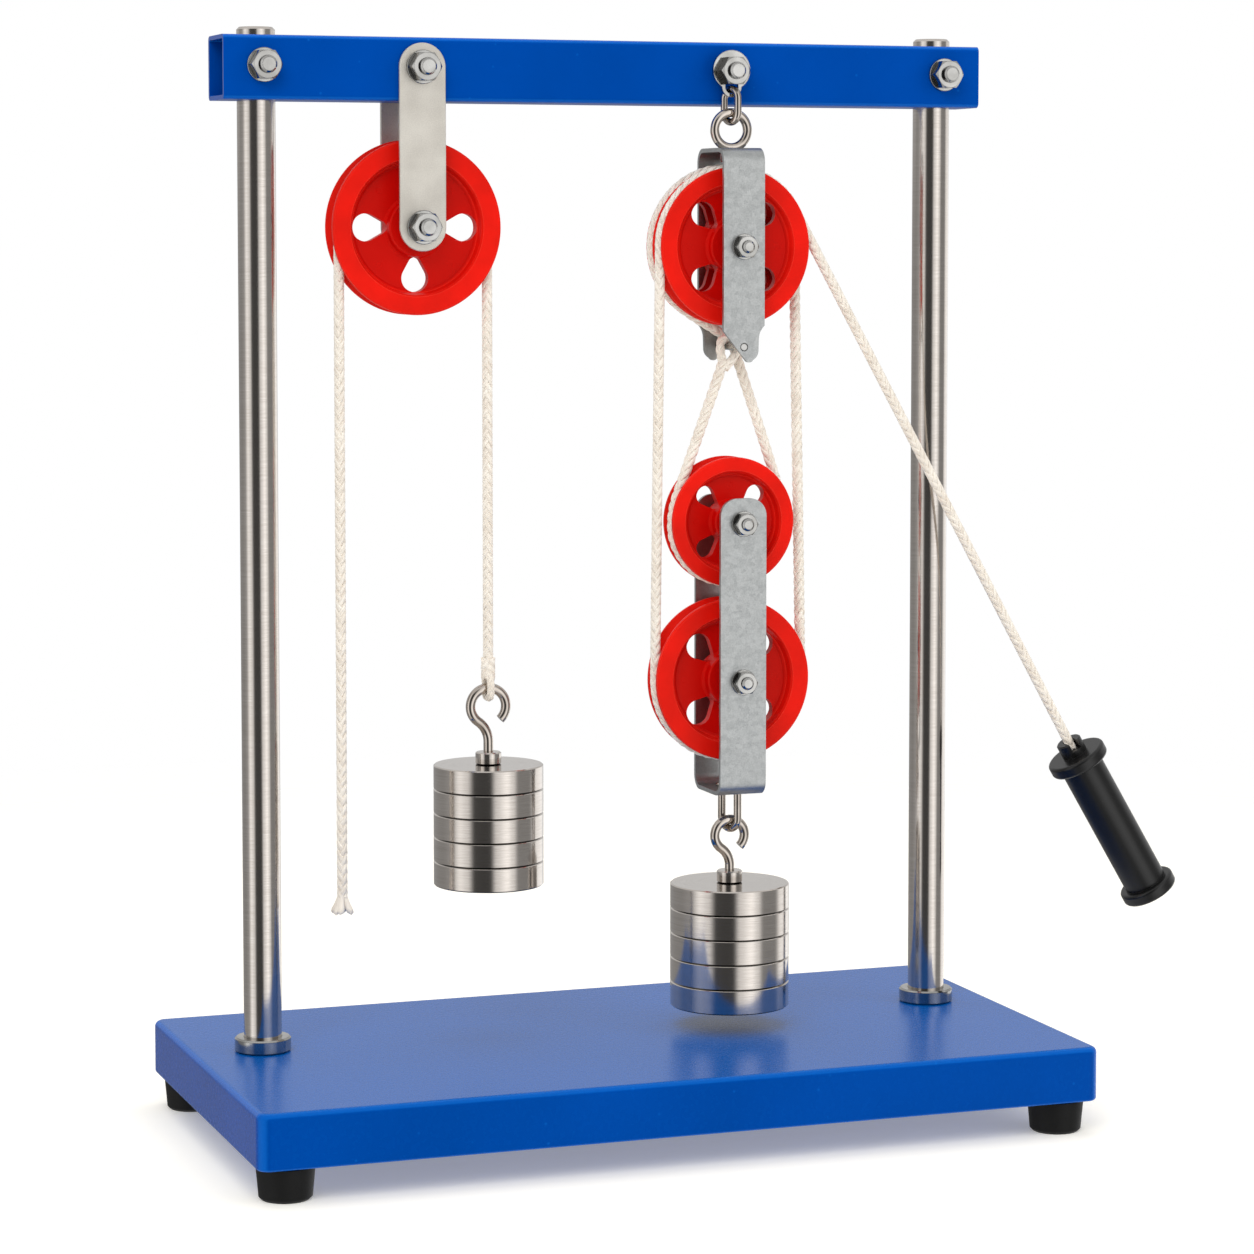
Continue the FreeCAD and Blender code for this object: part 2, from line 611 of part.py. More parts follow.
def build_lower_block():
    """Fork open at the top, a small wheel over a large one, and the staple for the weights."""
    fork = bent_strap(LOWER_FORK_WIDTH, LOWER_FORK_BOTTOM, LOWER_FORK_TOP, False)
    corners = [
        e for e in fork.Edges
        if e.BoundBox.ZMin > LOWER_FORK_TOP - 0.01 and e.BoundBox.YLength > 1
    ]
    fork = fork.makeFillet(8.5, corners)
    for z in (SMALL_Z, LARGE_Z):
        fork = through_hole(fork, z, 3.15)
    leg = leg_offset(STAPLE_LEG, STAPLE_TURN)
    for foot in (Vector(HANG_X, HANG_Y, LOWER_FORK_BOTTOM - 2) + leg * side for side in (-1, 1)):
        fork = fork.cut(Part.makeCylinder(STAPLE_WIRE + 0.05, 6.0, foot))
    save("lower_fork", fork)

    axles = []
    nut_sets = []
    spacers = []
    for z, wheel in ((SMALL_Z, SMALL_WHEEL), (LARGE_Z, LARGE_WHEEL)):
        axle, nut_set = m6_axle(HANG_X, z)
        axles.append(axle)
        nut_sets.extend(nut_set)
        front_face = LOWER_GROOVE_Y - wheel.half
        back_face = LOWER_GROOVE_Y + wheel.half
        spacers.append(spacer(HANG_X, z, FORK_FRONT + FORK_THICKNESS, front_face - 0.2, 3.15, 5.5))
        spacers.append(spacer(HANG_X, z, back_face + 0.2, FORK_BACK - FORK_THICKNESS, 3.15, 5.5))
    save("lower_axles", *axles)
    save("lower_axle_nuts", *nut_sets)
    save("lower_spacers", *spacers)
    save("small_wheel", SMALL_WHEEL.solid(HANG_X, LOWER_GROOVE_Y, SMALL_Z))
    save("large_wheel", LARGE_WHEEL.solid(HANG_X, LOWER_GROOVE_Y, LARGE_Z))

    centre = Vector(HANG_X, HANG_Y, STAPLE_BOTTOM + STAPLE_LEG)
    rise = Vector(0, 0, STAPLE_TOP - centre.z + 0.2)
    path = Part.Wire([
        Part.makeLine(centre - leg + rise, centre - leg),
        Part.Arc(centre - leg, centre - Vector(0, 0, STAPLE_LEG), centre + leg).toShape(),
        Part.makeLine(centre + leg, centre + leg + rise),
    ])
    staple = sweep_round(path, STAPLE_WIRE)
    for side in (-1, 1):
        head = chamfered_disc(3.1, 1.6, 0.6, 0.0)
        head.translate(Vector(HANG_X, HANG_Y, STAPLE_TOP) + leg * side)
        staple = staple.fuse(head)
    save("lower_staple", staple.removeSplitter())


# ---------------------------------------------------------------- weights
class WeightStack:
    """Hook on a rod through a stack of steel discs, clamped by a collar above and a nut below."""

    def __init__(self, name, x, y, top, radius, pitch, ring, wire, drop):
        self.name = name
        self.x = x
        self.y = y
        self.top = top
        self.radius = radius
        self.pitch = pitch
        self.ring = ring
        self.wire = wire
        self.drop = drop
        self.collar = 6.0
        self.ring_z = top + self.collar + drop

    def at(self, dx, z):
        """Point of the hook's plane."""
        return Vector(self.x + dx, self.y, z)

    def build_hook(self):
        """Open ring that sweeps back under itself in an S to the rod on the axis."""
        def on_ring(degrees):
            angle = math.radians(degrees)
            return self.at(self.ring * math.cos(angle), self.ring_z + self.ring * math.sin(angle))

        leave = 235.0
        back_radius = self.ring * -math.cos(math.radians(leave)) / (1 - math.cos(math.radians(55)))
        knee = on_ring(leave)
        bottom = self.at(0.0, knee.z - back_radius * math.sin(math.radians(55)))
        centre = bottom - Vector(back_radius, 0, 0)
        middle = centre + Vector(math.cos(math.radians(27.5)), 0, math.sin(math.radians(27.5))) * back_radius
        floor = self.top - DISC_COUNT * self.pitch + 0.6
        path = Part.Wire([
            Part.Arc(on_ring(-47), on_ring(90), knee).toShape(),
            Part.Arc(knee, middle, bottom).toShape(),
            Part.makeLine(bottom, self.at(0.0, floor)),
        ])
        save(self.name + "_hook", sweep_round(path, self.wire))

    def build_stack(self):
        """Discs from the bottom up, the collar on top and the nut sunk in the lowest disc."""
        bore = self.wire + 0.15
        low = self.top - DISC_COUNT * self.pitch
        for n in range(DISC_COUNT):
            disc = chamfered_disc(self.radius, self.pitch, 0.55, bore)
            if n == 0:
                disc = disc.cut(Part.makeCylinder(5.5, 5.0, ORIGIN))
            disc.translate(Vector(self.x, self.y, low + n * self.pitch))
            save(self.name + "_disc_" + str(n + 1), disc)
        collar = chamfered_disc(6.25, self.collar, 0.6, self.wire + 0.05)
        collar.translate(Vector(self.x, self.y, self.top))
        save(self.name + "_collar", collar)
        nut = hexagon(8.0, 4.0, self.wire + 0.05)
        nut.translate(Vector(self.x, self.y, low + 0.9))
        save(self.name + "_nut", nut)


LEFT_WEIGHT = WeightStack("left_weight", LEFT_WEIGHT_X, POST_Y, 173.8, 26.5, 11.7, 8.9, 2.35, 22.0)
RIGHT_WEIGHT = WeightStack("right_weight", HANG_X, HANG_Y, 113.0, 29.0, 12.05, 7.7, 2.3, 17.15)


# ---------------------------------------------------------------- pull handle
def build_handle():
    """Grip with a round-edged flange at each end and a slotted neck that holds the cord."""
    neck = 6.5
    neck_end = 7.6
    body = 10.8
    socket = 2.95
    top_flange = (15.2, neck_end, 6.4)
    end_flange = (14.3, 86.2, 6.4)
    rounding = 1.6
    bulge = rounding * (1 - math.cos(math.radians(45)))

    def flange(radius, start, thickness):
        """Edge of a flange with both rims rounded, from its near face to its far one."""
        stop = start + thickness
        return [
            (radius - rounding, start),
            ((radius - bulge, start + bulge), (radius, start + rounding)),
            (radius, stop - rounding),
            ((radius - bulge, stop - bulge), (radius - rounding, stop)),
        ]

    outline = [(socket, 0.0), (neck - 0.6, 0.0), (neck, 0.6), (neck, neck_end)]
    outline += flange(*top_flange)
    outline += [(body, top_flange[1] + top_flange[2]), (body, end_flange[1])]
    outline += flange(*end_flange)
    outline += [(0.0, end_flange[1] + end_flange[2]), (0.0, 20.0), (socket, 20.0)]
    grip = revolved(outline)
    slot = Part.makeBox(5.2, neck + 1, 5.0, Vector(-2.6, -neck - 1, -0.5))
    grip = grip.cut(slot)
    grip.rotate(ORIGIN, Y_AXIS, 180 - HANDLE_TILT)
    grip.translate(NECK_TOP)
    save("pull_handle", grip)


# ---------------------------------------------------------------- cords
# Each route is a list of corner points; the arcs round the wheels have the groove's radius.
NEAR = 0.98
GENTLE = 60.0

LIFT_FREE_FALL = [
    (-179.6, POST_Y, 431.9),
    (-179.6, POST_Y, 113.0),
]
LIFT_WRAP = [
    (-106.4, POST_Y, 432.0),
    (-106.4, POST_Y, 447.16),
    (-127.84, POST_Y, 468.6),
    (-158.16, POST_Y, 468.6),
    (-179.6, POST_Y, 447.16),
    (-179.6, POST_Y, 432.0),
]
LIFT_LOAD_FALL = [
    (-106.4, POST_Y, 431.9),
    (-106.4, POST_Y, 217.95),
]
PULL_FALL = [
    (42.33, FRONT_GROOVE_Y, 440.79),
    (194.1, FRONT_GROOVE_Y, 170.36),
]
FRONT_WRAP = [
    (42.24, FRONT_GROOVE_Y, 440.96),
    (36.1, FRONT_GROOVE_Y, 451.9),
    (12.91, FRONT_GROOVE_Y, 461.79),
    (-11.49, FRONT_GROOVE_Y, 455.45),
    (-26.98, FRONT_GROOVE_Y, 435.54),
    (-27.0, FRONT_GROOVE_Y, 422.9),
]
LARGE_BIGHT = [
    (-27.0, FRONT_GROOVE_Y, 422.7),
    (-27.07, FRONT_GROOVE_Y, 404.0),
    (-27.73, LOWER_GROOVE_Y, 231.0),
    (-27.86, LOWER_GROOVE_Y, 197.64),
    (-5.7, LOWER_GROOVE_Y, 175.4),
    (25.7, LOWER_GROOVE_Y, 175.4),
    (47.86, LOWER_GROOVE_Y, 197.64),
    (47.73, LOWER_GROOVE_Y, 231.0),
    (47.07, REAR_GROOVE_Y, 404.0),
    (47.0, REAR_GROOVE_Y, 422.7),
]
REAR_WRAP = [
    (47.0, REAR_GROOVE_Y, 422.9),
    (46.95, REAR_GROOVE_Y, 436.44),
    (29.49, REAR_GROOVE_Y, 457.02),
    (2.88, REAR_GROOVE_Y, 461.54),
    (-20.38, REAR_GROOVE_Y, 447.86),
    (-29.38, REAR_GROOVE_Y, 422.41),
    (-19.89, REAR_GROOVE_Y, 397.15),
    (14.08, REAR_GROOVE_Y, 378.07),
    (14.94, REAR_GROOVE_Y, 375.2),
]
SMALL_BIGHT = [
    (14.98, REAR_GROOVE_Y, 375.07),
    (16.3, REAR_GROOVE_Y - 0.2, 370.7),
    (33.17, LOWER_GROOVE_Y, 314.51),
    (41.41, LOWER_GROOVE_Y, 287.07),
    (30.96, LOWER_GROOVE_Y, 266.24),
    (9.05, LOWER_GROOVE_Y, 258.28),
    (-12.34, LOWER_GROOVE_Y, 267.54),
    (-21.52, LOWER_GROOVE_Y, 288.96),
    (7.45, LOWER_GROOVE_Y, 367.85),
]


def build_lift_cord():
    """Cord of the fixed pulley: free end with its frayed tuft, wrap, and the eye on the hook."""
    tuft = revolved([
        (0, 0.4),
        (3.4, 0.0),
        ((6.6, 2.0), (5.2, 5.6)),
        (3.3, 7.6),
        (CORD_RADIUS, 9.0),
        (0, 9.0),
    ])
    tuft.translate(Vector(*LIFT_FREE_FALL[-1]) - Vector(0, 0, 9.0))
    save("lift_cord_free_fall", cord("lift_cord_free_fall", LIFT_FREE_FALL, []), tuft)
    fixed = [NEAR * FIXED_WHEEL.cord_line] * 4
    save("lift_cord_wrap", cord("lift_cord_wrap", LIFT_WRAP, fixed))
    eye_z = LEFT_WEIGHT.ring_z + LEFT_WEIGHT.ring
    eye = ring_wire(4.9, EYE_CORD_RADIUS, Vector(LEFT_WEIGHT_X, POST_Y, eye_z), X_AXIS)
    save("lift_cord_eye", eye)
    save("lift_cord_load_fall", cord("lift_cord_load_fall", LIFT_LOAD_FALL, []))


def build_tackle_cord():
    """One cord: handle, front wheel, large wheel, rear wheel, becket pin, small wheel, becket."""
    save("tackle_cord_pull_fall", cord("tackle_cord_pull_fall", PULL_FALL, []))
    upper = NEAR * UPPER_WHEEL.cord_line
    large = [GENTLE] * 2 + [NEAR * LARGE_WHEEL.cord_line] * 4 + [GENTLE] * 2
    small = [GENTLE] * 2 + [NEAR * SMALL_WHEEL.cord_line] * 5
    pin = BECKET_RADIUS + GROOVE_DEPTH
    save("tackle_cord_front_wrap", cord("tackle_cord_front_wrap", FRONT_WRAP, [upper] * 4))
    save("tackle_cord_large_bight", cord("tackle_cord_large_bight", LARGE_BIGHT, large))
    rear = cord("tackle_cord_rear_wrap", REAR_WRAP, [upper] * 6 + [pin])
    eye_centre = Vector(HANG_X, LOWER_GROOVE_Y, BECKET_Z)
    eye = ring_wire(BECKET_RADIUS + EYE_CORD_RADIUS + 0.1, EYE_CORD_RADIUS, eye_centre, Y_AXIS)
    save("tackle_cord_rear_wrap", rear, eye)
    save("tackle_cord_small_bight", cord("tackle_cord_small_bight", SMALL_BIGHT, small))


build_base()
save("base_screws", *build_feet(), *build_posts())
build_beam()
build_m8_fasteners()
build_fixed_pulley()
build_hanger()
build_upper_block()
build_lower_block()
for stack in (LEFT_WEIGHT, RIGHT_WEIGHT):
    stack.build_hook()
    stack.build_stack()
build_handle()
build_lift_cord()
build_tackle_cord()
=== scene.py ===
"""Looks of the pulley demonstrator: its finishes, braided cords, floor, light and camera.

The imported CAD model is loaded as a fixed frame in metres, Z up. Its rigid parts stay and get
their finishes here. The plain cords are replaced by braided ones on the same routes.
"""

import logging
import math
from dataclasses import dataclass
from enum import Enum

import bpy
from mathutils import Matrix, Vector


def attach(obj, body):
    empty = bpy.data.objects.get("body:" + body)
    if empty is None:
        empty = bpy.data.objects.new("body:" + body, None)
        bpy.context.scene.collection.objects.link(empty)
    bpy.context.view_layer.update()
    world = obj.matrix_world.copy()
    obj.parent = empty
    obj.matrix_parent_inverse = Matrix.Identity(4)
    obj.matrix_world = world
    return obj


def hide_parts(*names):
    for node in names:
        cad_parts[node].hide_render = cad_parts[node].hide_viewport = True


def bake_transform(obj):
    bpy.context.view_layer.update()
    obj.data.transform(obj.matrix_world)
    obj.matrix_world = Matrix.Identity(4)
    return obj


LOG = logging.getLogger("pulley_demonstrator")
MM = 0.001

Colour = tuple[float, float, float]
Point = tuple[float, float, float]
Tree = bpy.types.NodeTree
Socket = bpy.types.NodeSocket

ORIGIN = (0.0, 0.0, 0.0)
WHITE = (1.0, 1.0, 1.0, 1.0)

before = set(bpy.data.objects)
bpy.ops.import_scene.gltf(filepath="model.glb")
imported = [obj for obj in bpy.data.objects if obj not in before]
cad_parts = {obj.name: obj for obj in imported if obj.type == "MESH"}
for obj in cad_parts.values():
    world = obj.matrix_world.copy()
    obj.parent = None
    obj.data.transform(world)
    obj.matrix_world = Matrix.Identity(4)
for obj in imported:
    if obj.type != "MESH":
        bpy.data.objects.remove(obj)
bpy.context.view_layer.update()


# ---------------------------------------------------------------- node trees


def set_inputs(tree: Tree, node: bpy.types.Node, inputs: dict) -> None:
    """Link or set a node's inputs.

    Args:
        tree: the node's tree.
        node: the node.
        inputs: a value or an output socket for each named or numbered input.
    """
    for key, value in inputs.items():
        if isinstance(value, Socket):
            tree.links.new(value, node.inputs[key])
        else:
            node.inputs[key].default_value = value


def add_node(tree: Tree, kind: str, inputs: dict | None = None, **settings) -> bpy.types.Node:
    """Add a node to a tree.

    Args:
        tree: the tree that gets the node.
        kind: the node's type name.
        inputs: a value or an output socket for each named or numbered input.
        settings: the node's own properties.

    Returns:
        The new node.
    """
    node = tree.nodes.new(kind)
    for name, value in settings.items():
        setattr(node, name, value)
    set_inputs(tree, node, inputs or {})
    return node


def math_node(tree: Tree, operation: str, first, second=0.0, third=0.0) -> Socket:
    """Combine up to three numbers or sockets.

    Args:
        tree: the tree that gets the node.
        operation: the Math node's operation.
        first: the first operand.
        second: the second operand.
        third: the third operand, for operations that take one.

    Returns:
        The result's socket.
    """
    node = add_node(tree, "ShaderNodeMath", {0: first, 1: second, 2: third}, operation=operation)
    return node.outputs["Value"]


def vector_node(tree: Tree, operation: str, first, second=ORIGIN) -> Socket:
    """Combine two vectors.

    Args:
        tree: the tree that gets the node.
        operation: the Vector Math node's operation.
        first: the first vector.
        second: the second vector.

    Returns:
        The result's vector socket.
    """
    node = add_node(tree, "ShaderNodeVectorMath", {0: first, 1: second}, operation=operation)
    return node.outputs["Vector"]


def scaled_vector(tree: Tree, vector: Socket, scale) -> Socket:
    """Multiply a vector by a number or a socket.

    Args:
        tree: the tree that gets the node.
        vector: the vector's socket.
        scale: the factor.

    Returns:
        The result's vector socket.
    """
    node = add_node(tree, "ShaderNodeVectorMath", {"Vector": vector, "Scale": scale}, operation="SCALE")
    return node.outputs["Vector"]


def parts_of(tree: Tree, vector) -> bpy.types.bpy_prop_collection:
    """Split a vector into its X, Y and Z sockets."""
    return add_node(tree, "ShaderNodeSeparateXYZ", {0: vector}).outputs


def length_of(tree: Tree, vector) -> Socket:
    """Measure a vector."""
    return add_node(tree, "ShaderNodeVectorMath", {0: vector}, operation="LENGTH").outputs["Value"]


def combined(tree: Tree, **parts) -> Socket:
    """Make a vector of the given X, Y and Z; what isn't given is 0."""
    return add_node(tree, "ShaderNodeCombineXYZ", parts).outputs[0]


def ranged(
    tree: Tree,
    value,
    low: float,
    high: float,
    out_low: float = 0.0,
    out_high: float = 1.0,
    smooth: bool = False,
) -> Socket:
    """Map a value from one range to another and clamp it.

    Args:
        tree: the tree that gets the node.
        value: the socket to map.
        low: the value that gives out_low.
        high: the value that gives out_high.
        out_low: the result at low.
        out_high: the result at high.
        smooth: whether the ends are eased.

    Returns:
        The result's socket.
    """
    kind = "SMOOTHSTEP" if smooth else "LINEAR"
    inputs = {"Value": value, "From Min": low, "From Max": high, "To Min": out_low, "To Max": out_high}
    return add_node(tree, "ShaderNodeMapRange", inputs, interpolation_type=kind).outputs["Result"]


def mixed_colour(tree: Tree, factor, first, second, blend: str = "MIX") -> Socket:
    """Mix two colours.

    Args:
        tree: the tree that gets the node.
        factor: how much of the second colour there is.
        first: a colour or a socket.
        second: a colour or a socket.
        blend: the Mix node's blend type.

    Returns:
        The result's colour socket.
    """
    values = [(*c, 1.0) if isinstance(c, tuple) else c for c in (first, second)]
    node = add_node(tree, "ShaderNodeMix", data_type="RGBA", blend_type=blend)
    set_inputs(tree, node, {0: factor, 6: values[0], 7: values[1]})
    return node.outputs[2]


def stain_or_painted_light(tree: Tree, mask, share: float, base, stain, blend: str = "MIX") -> Socket:
    """Mix a second colour in where a mask is, up to a share of it: real stains and specks, and also painted
    light and shade.
    """
    return mixed_colour(tree, math_node(tree, "MULTIPLY", mask, share), base, stain, blend)


NOISE_REACH = (0.3, 0.7)


def varied(tree: Tree, tone, value: float, low: float, high: float) -> Socket:
    """Vary a number with a noise's tone, from low to high times the number."""
    return ranged(tree, tone, *NOISE_REACH, value * low, value * high)


def two_tones(tree: Tree, first, second, share: float) -> Socket:
    """Add two tones, the first by its share and the second by the rest."""
    return math_node(tree, "MULTIPLY_ADD", first, share, math_node(tree, "MULTIPLY", second, 1.0 - share))


def relief(tree: Tree, result: bpy.types.Node, tone, depth) -> None:
    """Put a tone out of a group, and the normal that the tone gives as a height."""
    bump = add_node(tree, "ShaderNodeBump", {"Height": tone, "Distance": depth, "Strength": 1.0})
    set_inputs(tree, result, {"Tone": tone, "Normal": bump.outputs["Normal"]})


def new_group(
    name: str,
    kind: str,
    inputs: dict[str, tuple],
    outputs: dict[str, str],
) -> tuple[Tree, bpy.types.Node, bpy.types.Node]:
    """Start a node group.

    Args:
        name: the group's name.
        kind: the tree's type name.
        inputs: for each input its socket type and default value.
        outputs: for each output its socket type.

    Returns:
        The tree, its input node and its output node.
    """
    tree = bpy.data.node_groups.new(name, kind)
    for label, (socket_type, default) in inputs.items():
        socket = tree.interface.new_socket(label, in_out="INPUT", socket_type=socket_type)
        if default is not None:
            socket.default_value = default
    for label, socket_type in outputs.items():
        tree.interface.new_socket(label, in_out="OUTPUT", socket_type=socket_type)
    return tree, tree.nodes.new("NodeGroupInput"), tree.nodes.new("NodeGroupOutput")


def use_group(tree: Tree, group: Tree, **inputs) -> bpy.types.Node:
    """Put a shader group into a material.

    Args:
        tree: the material's tree.
        group: the group.
        inputs: values or sockets by input name, with _ for a space.

    Returns:
        The group node.
    """
    node = tree.nodes.new("ShaderNodeGroup")
    node.node_tree = group
    set_inputs(tree, node, {name.replace("_", " "): value for name, value in inputs.items()})
    return node


# ---------------------------------------------------------------- shared surface effects

FLOAT = "NodeSocketFloat"
VECTOR = "NodeSocketVector"


class Effects:
    """The surface effects that several finishes share, as node groups made once."""

    def __init__(self) -> None:
        """Make every group."""
        self.grain = self._grain()
        self.lathe = self._lathe()
        self.spangle = self._spangle()
        self.specks = self._specks()
        self.edges = self._edges()
        self.box_edges = self._box_edges()
        self.pin_marks = self._pin_marks()

    @staticmethod
    def _grain() -> Tree:
        """Make an even grain, as of orange peel, a moulded skin or rubber."""
        inputs = {
            "Place": (VECTOR, ORIGIN),
            "Width": (FLOAT, 0.001),
            "Depth": (FLOAT, 0.00001),
            "Detail": (FLOAT, 2.0),
        }
        tree, given, result = new_group("Grain", "ShaderNodeTree", inputs, {"Tone": FLOAT, "Normal": VECTOR})
        per_metre = math_node(tree, "DIVIDE", 1.0, given.outputs["Width"])
        noise = {"Vector": given.outputs["Place"], "Scale": per_metre, "Detail": given.outputs["Detail"]}
        tone = add_node(tree, "ShaderNodeTexNoise", noise).outputs["Fac"]
        relief(tree, result, tone, given.outputs["Depth"])
        return tree

    @staticmethod
    def _lathe() -> Tree:
        """Make the fine lines that turning or grinding leaves round an upright axis."""
        inputs = {
            "Place": (VECTOR, ORIGIN),
            "Axis": (VECTOR, ORIGIN),
            "Width": (FLOAT, 0.0003),
            "Depth": (FLOAT, 0.000004),
        }
        tree, given, result = new_group("Lathe", "ShaderNodeTree", inputs, {"Tone": FLOAT, "Normal": VECTOR})
        from_axis = vector_node(tree, "SUBTRACT", given.outputs["Place"], given.outputs["Axis"])
        parts = parts_of(tree, from_axis)
        flat = combined(tree, X=parts["X"], Y=parts["Y"])
        lines = combined(tree, X=length_of(tree, flat), Y=parts["Z"])
        drift_around = 0.04
        place = vector_node(tree, "ADD", lines, scaled_vector(tree, flat, drift_around))
        per_metre = math_node(tree, "DIVIDE", 1.0, given.outputs["Width"])
        fine = {"Vector": place, "Scale": per_metre, "Detail": 3.0, "Roughness": 0.7}
        tone = add_node(tree, "ShaderNodeTexNoise", fine).outputs["Fac"]
        relief(tree, result, tone, given.outputs["Depth"])
        return tree

    @staticmethod
    def _spangle() -> Tree:
        """Make the crystal flowers of a zinc coat: cells of their own tone and fine lines."""
        inputs = {"Place": (VECTOR, ORIGIN), "Width": (FLOAT, 0.004), "Depth": (FLOAT, 0.000004)}
        outputs = {"Tone": FLOAT, "Normal": VECTOR}
        tree, given, result = new_group("Spangle", "ShaderNodeTree", inputs, outputs)
        per_metre = math_node(tree, "DIVIDE", 1.0, given.outputs["Width"])
        scaled = scaled_vector(tree, given.outputs["Place"], per_metre)
        wander = {"Vector": scaled, "Scale": 0.9, "Detail": 2.0}
        warp = add_node(tree, "ShaderNodeTexNoise", wander).outputs["Color"]
        warp_reach = 1.6
        bent = vector_node(tree, "ADD", scaled, scaled_vector(tree, warp, warp_reach))
        found = {"Vector": bent, "Scale": 1.0, "Randomness": 1.0}
        cell = add_node(tree, "ShaderNodeTexVoronoi", found).outputs
        chance = add_node(tree, "ShaderNodeSeparateColor", {0: cell["Color"]}).outputs
        full_turn = 6.3
        angle = math_node(tree, "MULTIPLY", chance[0], full_turn)
        turned = {"Vector": bent, "Axis": (0.0, 1.0, 0.0), "Angle": angle}
        lines = add_node(tree, "ShaderNodeVectorRotate", turned, rotation_type="AXIS_ANGLE").outputs[0]
        drawn_out = vector_node(tree, "MULTIPLY", lines, (14.0, 3.0, 1.2))
        feathered = {"Vector": drawn_out, "Scale": 1.0, "Detail": 2.0}
        fern = add_node(tree, "ShaderNodeTexNoise", feathered).outputs["Fac"]
        tone = two_tones(tree, fern, chance[1], 0.55)
        relief(tree, result, tone, given.outputs["Depth"])
        return tree

    @staticmethod
    def _specks() -> Tree:
        """Make a mask of scattered small specks: dust in paint, pits in a dull coat."""
        inputs = {"Place": (VECTOR, ORIGIN), "Spacing": (FLOAT, 0.004), "Share": (FLOAT, 0.3)}
        tree, given, result = new_group("Specks", "ShaderNodeTree", inputs, {"Mask": FLOAT})
        per_metre = math_node(tree, "DIVIDE", 1.0, given.outputs["Spacing"])
        found = {"Vector": given.outputs["Place"], "Scale": per_metre, "Randomness": 1.0}
        cell = add_node(tree, "ShaderNodeTexVoronoi", found).outputs
        near = ranged(tree, cell["Distance"], 0.02, 0.16, 1.0, 0.0, smooth=True)
        picked = add_node(tree, "ShaderNodeSeparateColor", {0: cell["Color"]}).outputs[0]
        chosen = math_node(tree, "LESS_THAN", picked, given.outputs["Share"])
        tree.links.new(math_node(tree, "MULTIPLY", near, chosen), result.inputs["Mask"])
        return tree

    @staticmethod
    def _edges() -> Tree:
        """Make a mask of the outer edges, where painted highlights and painted edge shade are put."""
        inputs = {"Width": (FLOAT, 0.0008)}
        tree, given, result = new_group("Edges", "ShaderNodeTree", inputs, {"Mask": FLOAT})
        bevel = add_node(tree, "ShaderNodeBevel", {"Radius": given.outputs["Width"]}, samples=4)
        true = add_node(tree, "ShaderNodeNewGeometry").outputs["True Normal"]
        pair = {0: bevel.outputs["Normal"], 1: true}
        dot = add_node(tree, "ShaderNodeVectorMath", pair, operation="DOT_PRODUCT").outputs["Value"]
        set_inputs(tree, result, {"Mask": ranged(tree, dot, 0.995, 0.9, smooth=True)})
        return tree

    @staticmethod
    def _box_edges() -> Tree:
        """Make a mask of the rounded edges of a squared piece, and one of its upper face."""
        outputs = {"Rounded": FLOAT, "Upper": FLOAT}
        tree, _, result = new_group("Box Edges", "ShaderNodeTree", {}, outputs)
        normal = add_node(tree, "ShaderNodeNewGeometry").outputs["Normal"]
        sizes = add_node(tree, "ShaderNodeVectorMath", {0: normal}, operation="ABSOLUTE").outputs["Vector"]
        parts = parts_of(tree, sizes)
        across = math_node(tree, "MAXIMUM", parts["X"], parts["Y"])
        greatest = math_node(tree, "MAXIMUM", across, parts["Z"])
        masks = {
            "Rounded": ranged(tree, greatest, 0.985, 0.86, smooth=True),
            "Upper": ranged(tree, parts_of(tree, normal)["Z"], 0.7, 0.98, smooth=True),
        }
        set_inputs(tree, result, masks)
        return tree

    @staticmethod
    def _pin_marks() -> Tree:
        """Make the round prints that ejector pins leave in a wheel, and the distance from its axle."""
        inputs = {
            "Place": (VECTOR, ORIGIN),
            "Axle": (VECTOR, ORIGIN),
            "Turn": (FLOAT, 0.0),
            "Circle": (FLOAT, 0.02),
            "Size": (FLOAT, 0.0015),
        }
        outputs = {"Height": FLOAT, "Radius": FLOAT}
        tree, given, result = new_group("Pin Marks", "ShaderNodeTree", inputs, outputs)
        from_axle = vector_node(tree, "SUBTRACT", given.outputs["Place"], given.outputs["Axle"])
        parts = parts_of(tree, from_axle)
        angle = math_node(tree, "ARCTAN2", parts["Z"], parts["X"])
        quarter = math.pi / 2
        turned = math_node(tree, "SUBTRACT", angle, given.outputs["Turn"])
        folded = math_node(tree, "WRAP", turned, quarter / 2, -quarter / 2)
        radius = length_of(tree, combined(tree, X=parts["X"], Y=parts["Z"]))
        across = math_node(tree, "MULTIPLY", folded, radius)
        outward = math_node(tree, "SUBTRACT", radius, given.outputs["Circle"])
        distance = length_of(tree, combined(tree, X=across, Y=outward))
        share = math_node(tree, "DIVIDE", distance, given.outputs["Size"])
        height = ranged(tree, share, 0.85, 1.05, smooth=True)
        set_inputs(tree, result, {"Height": height, "Radius": radius})
        return tree


# ---------------------------------------------------------------- finishes


class Slot(Enum):
    """The record's material slot names; nothing in this script uses them."""

    COTTON = "cotton"


@dataclass(frozen=True)
class Finish:
    """A finish with a name; each kind says how its material is made."""

    name: str

    def start(self) -> tuple[bpy.types.Material, Tree, bpy.types.Node, Socket]:
        """Start the material.

        Returns:
            The material, its tree, its Principled shader and the object's own coordinates.
        """
        material = bpy.data.materials.new(self.name)
        material.use_nodes = True
        tree = material.node_tree
        shader = tree.nodes["Principled BSDF"]
        return material, tree, shader, tree.nodes.new("ShaderNodeTexCoord").outputs["Object"]

    def build(self, effects: Effects) -> bpy.types.Material:
        """Make the material.

        Args:
            effects: the shared effect groups.

        Returns:
            The finished material.
        """
        raise NotImplementedError


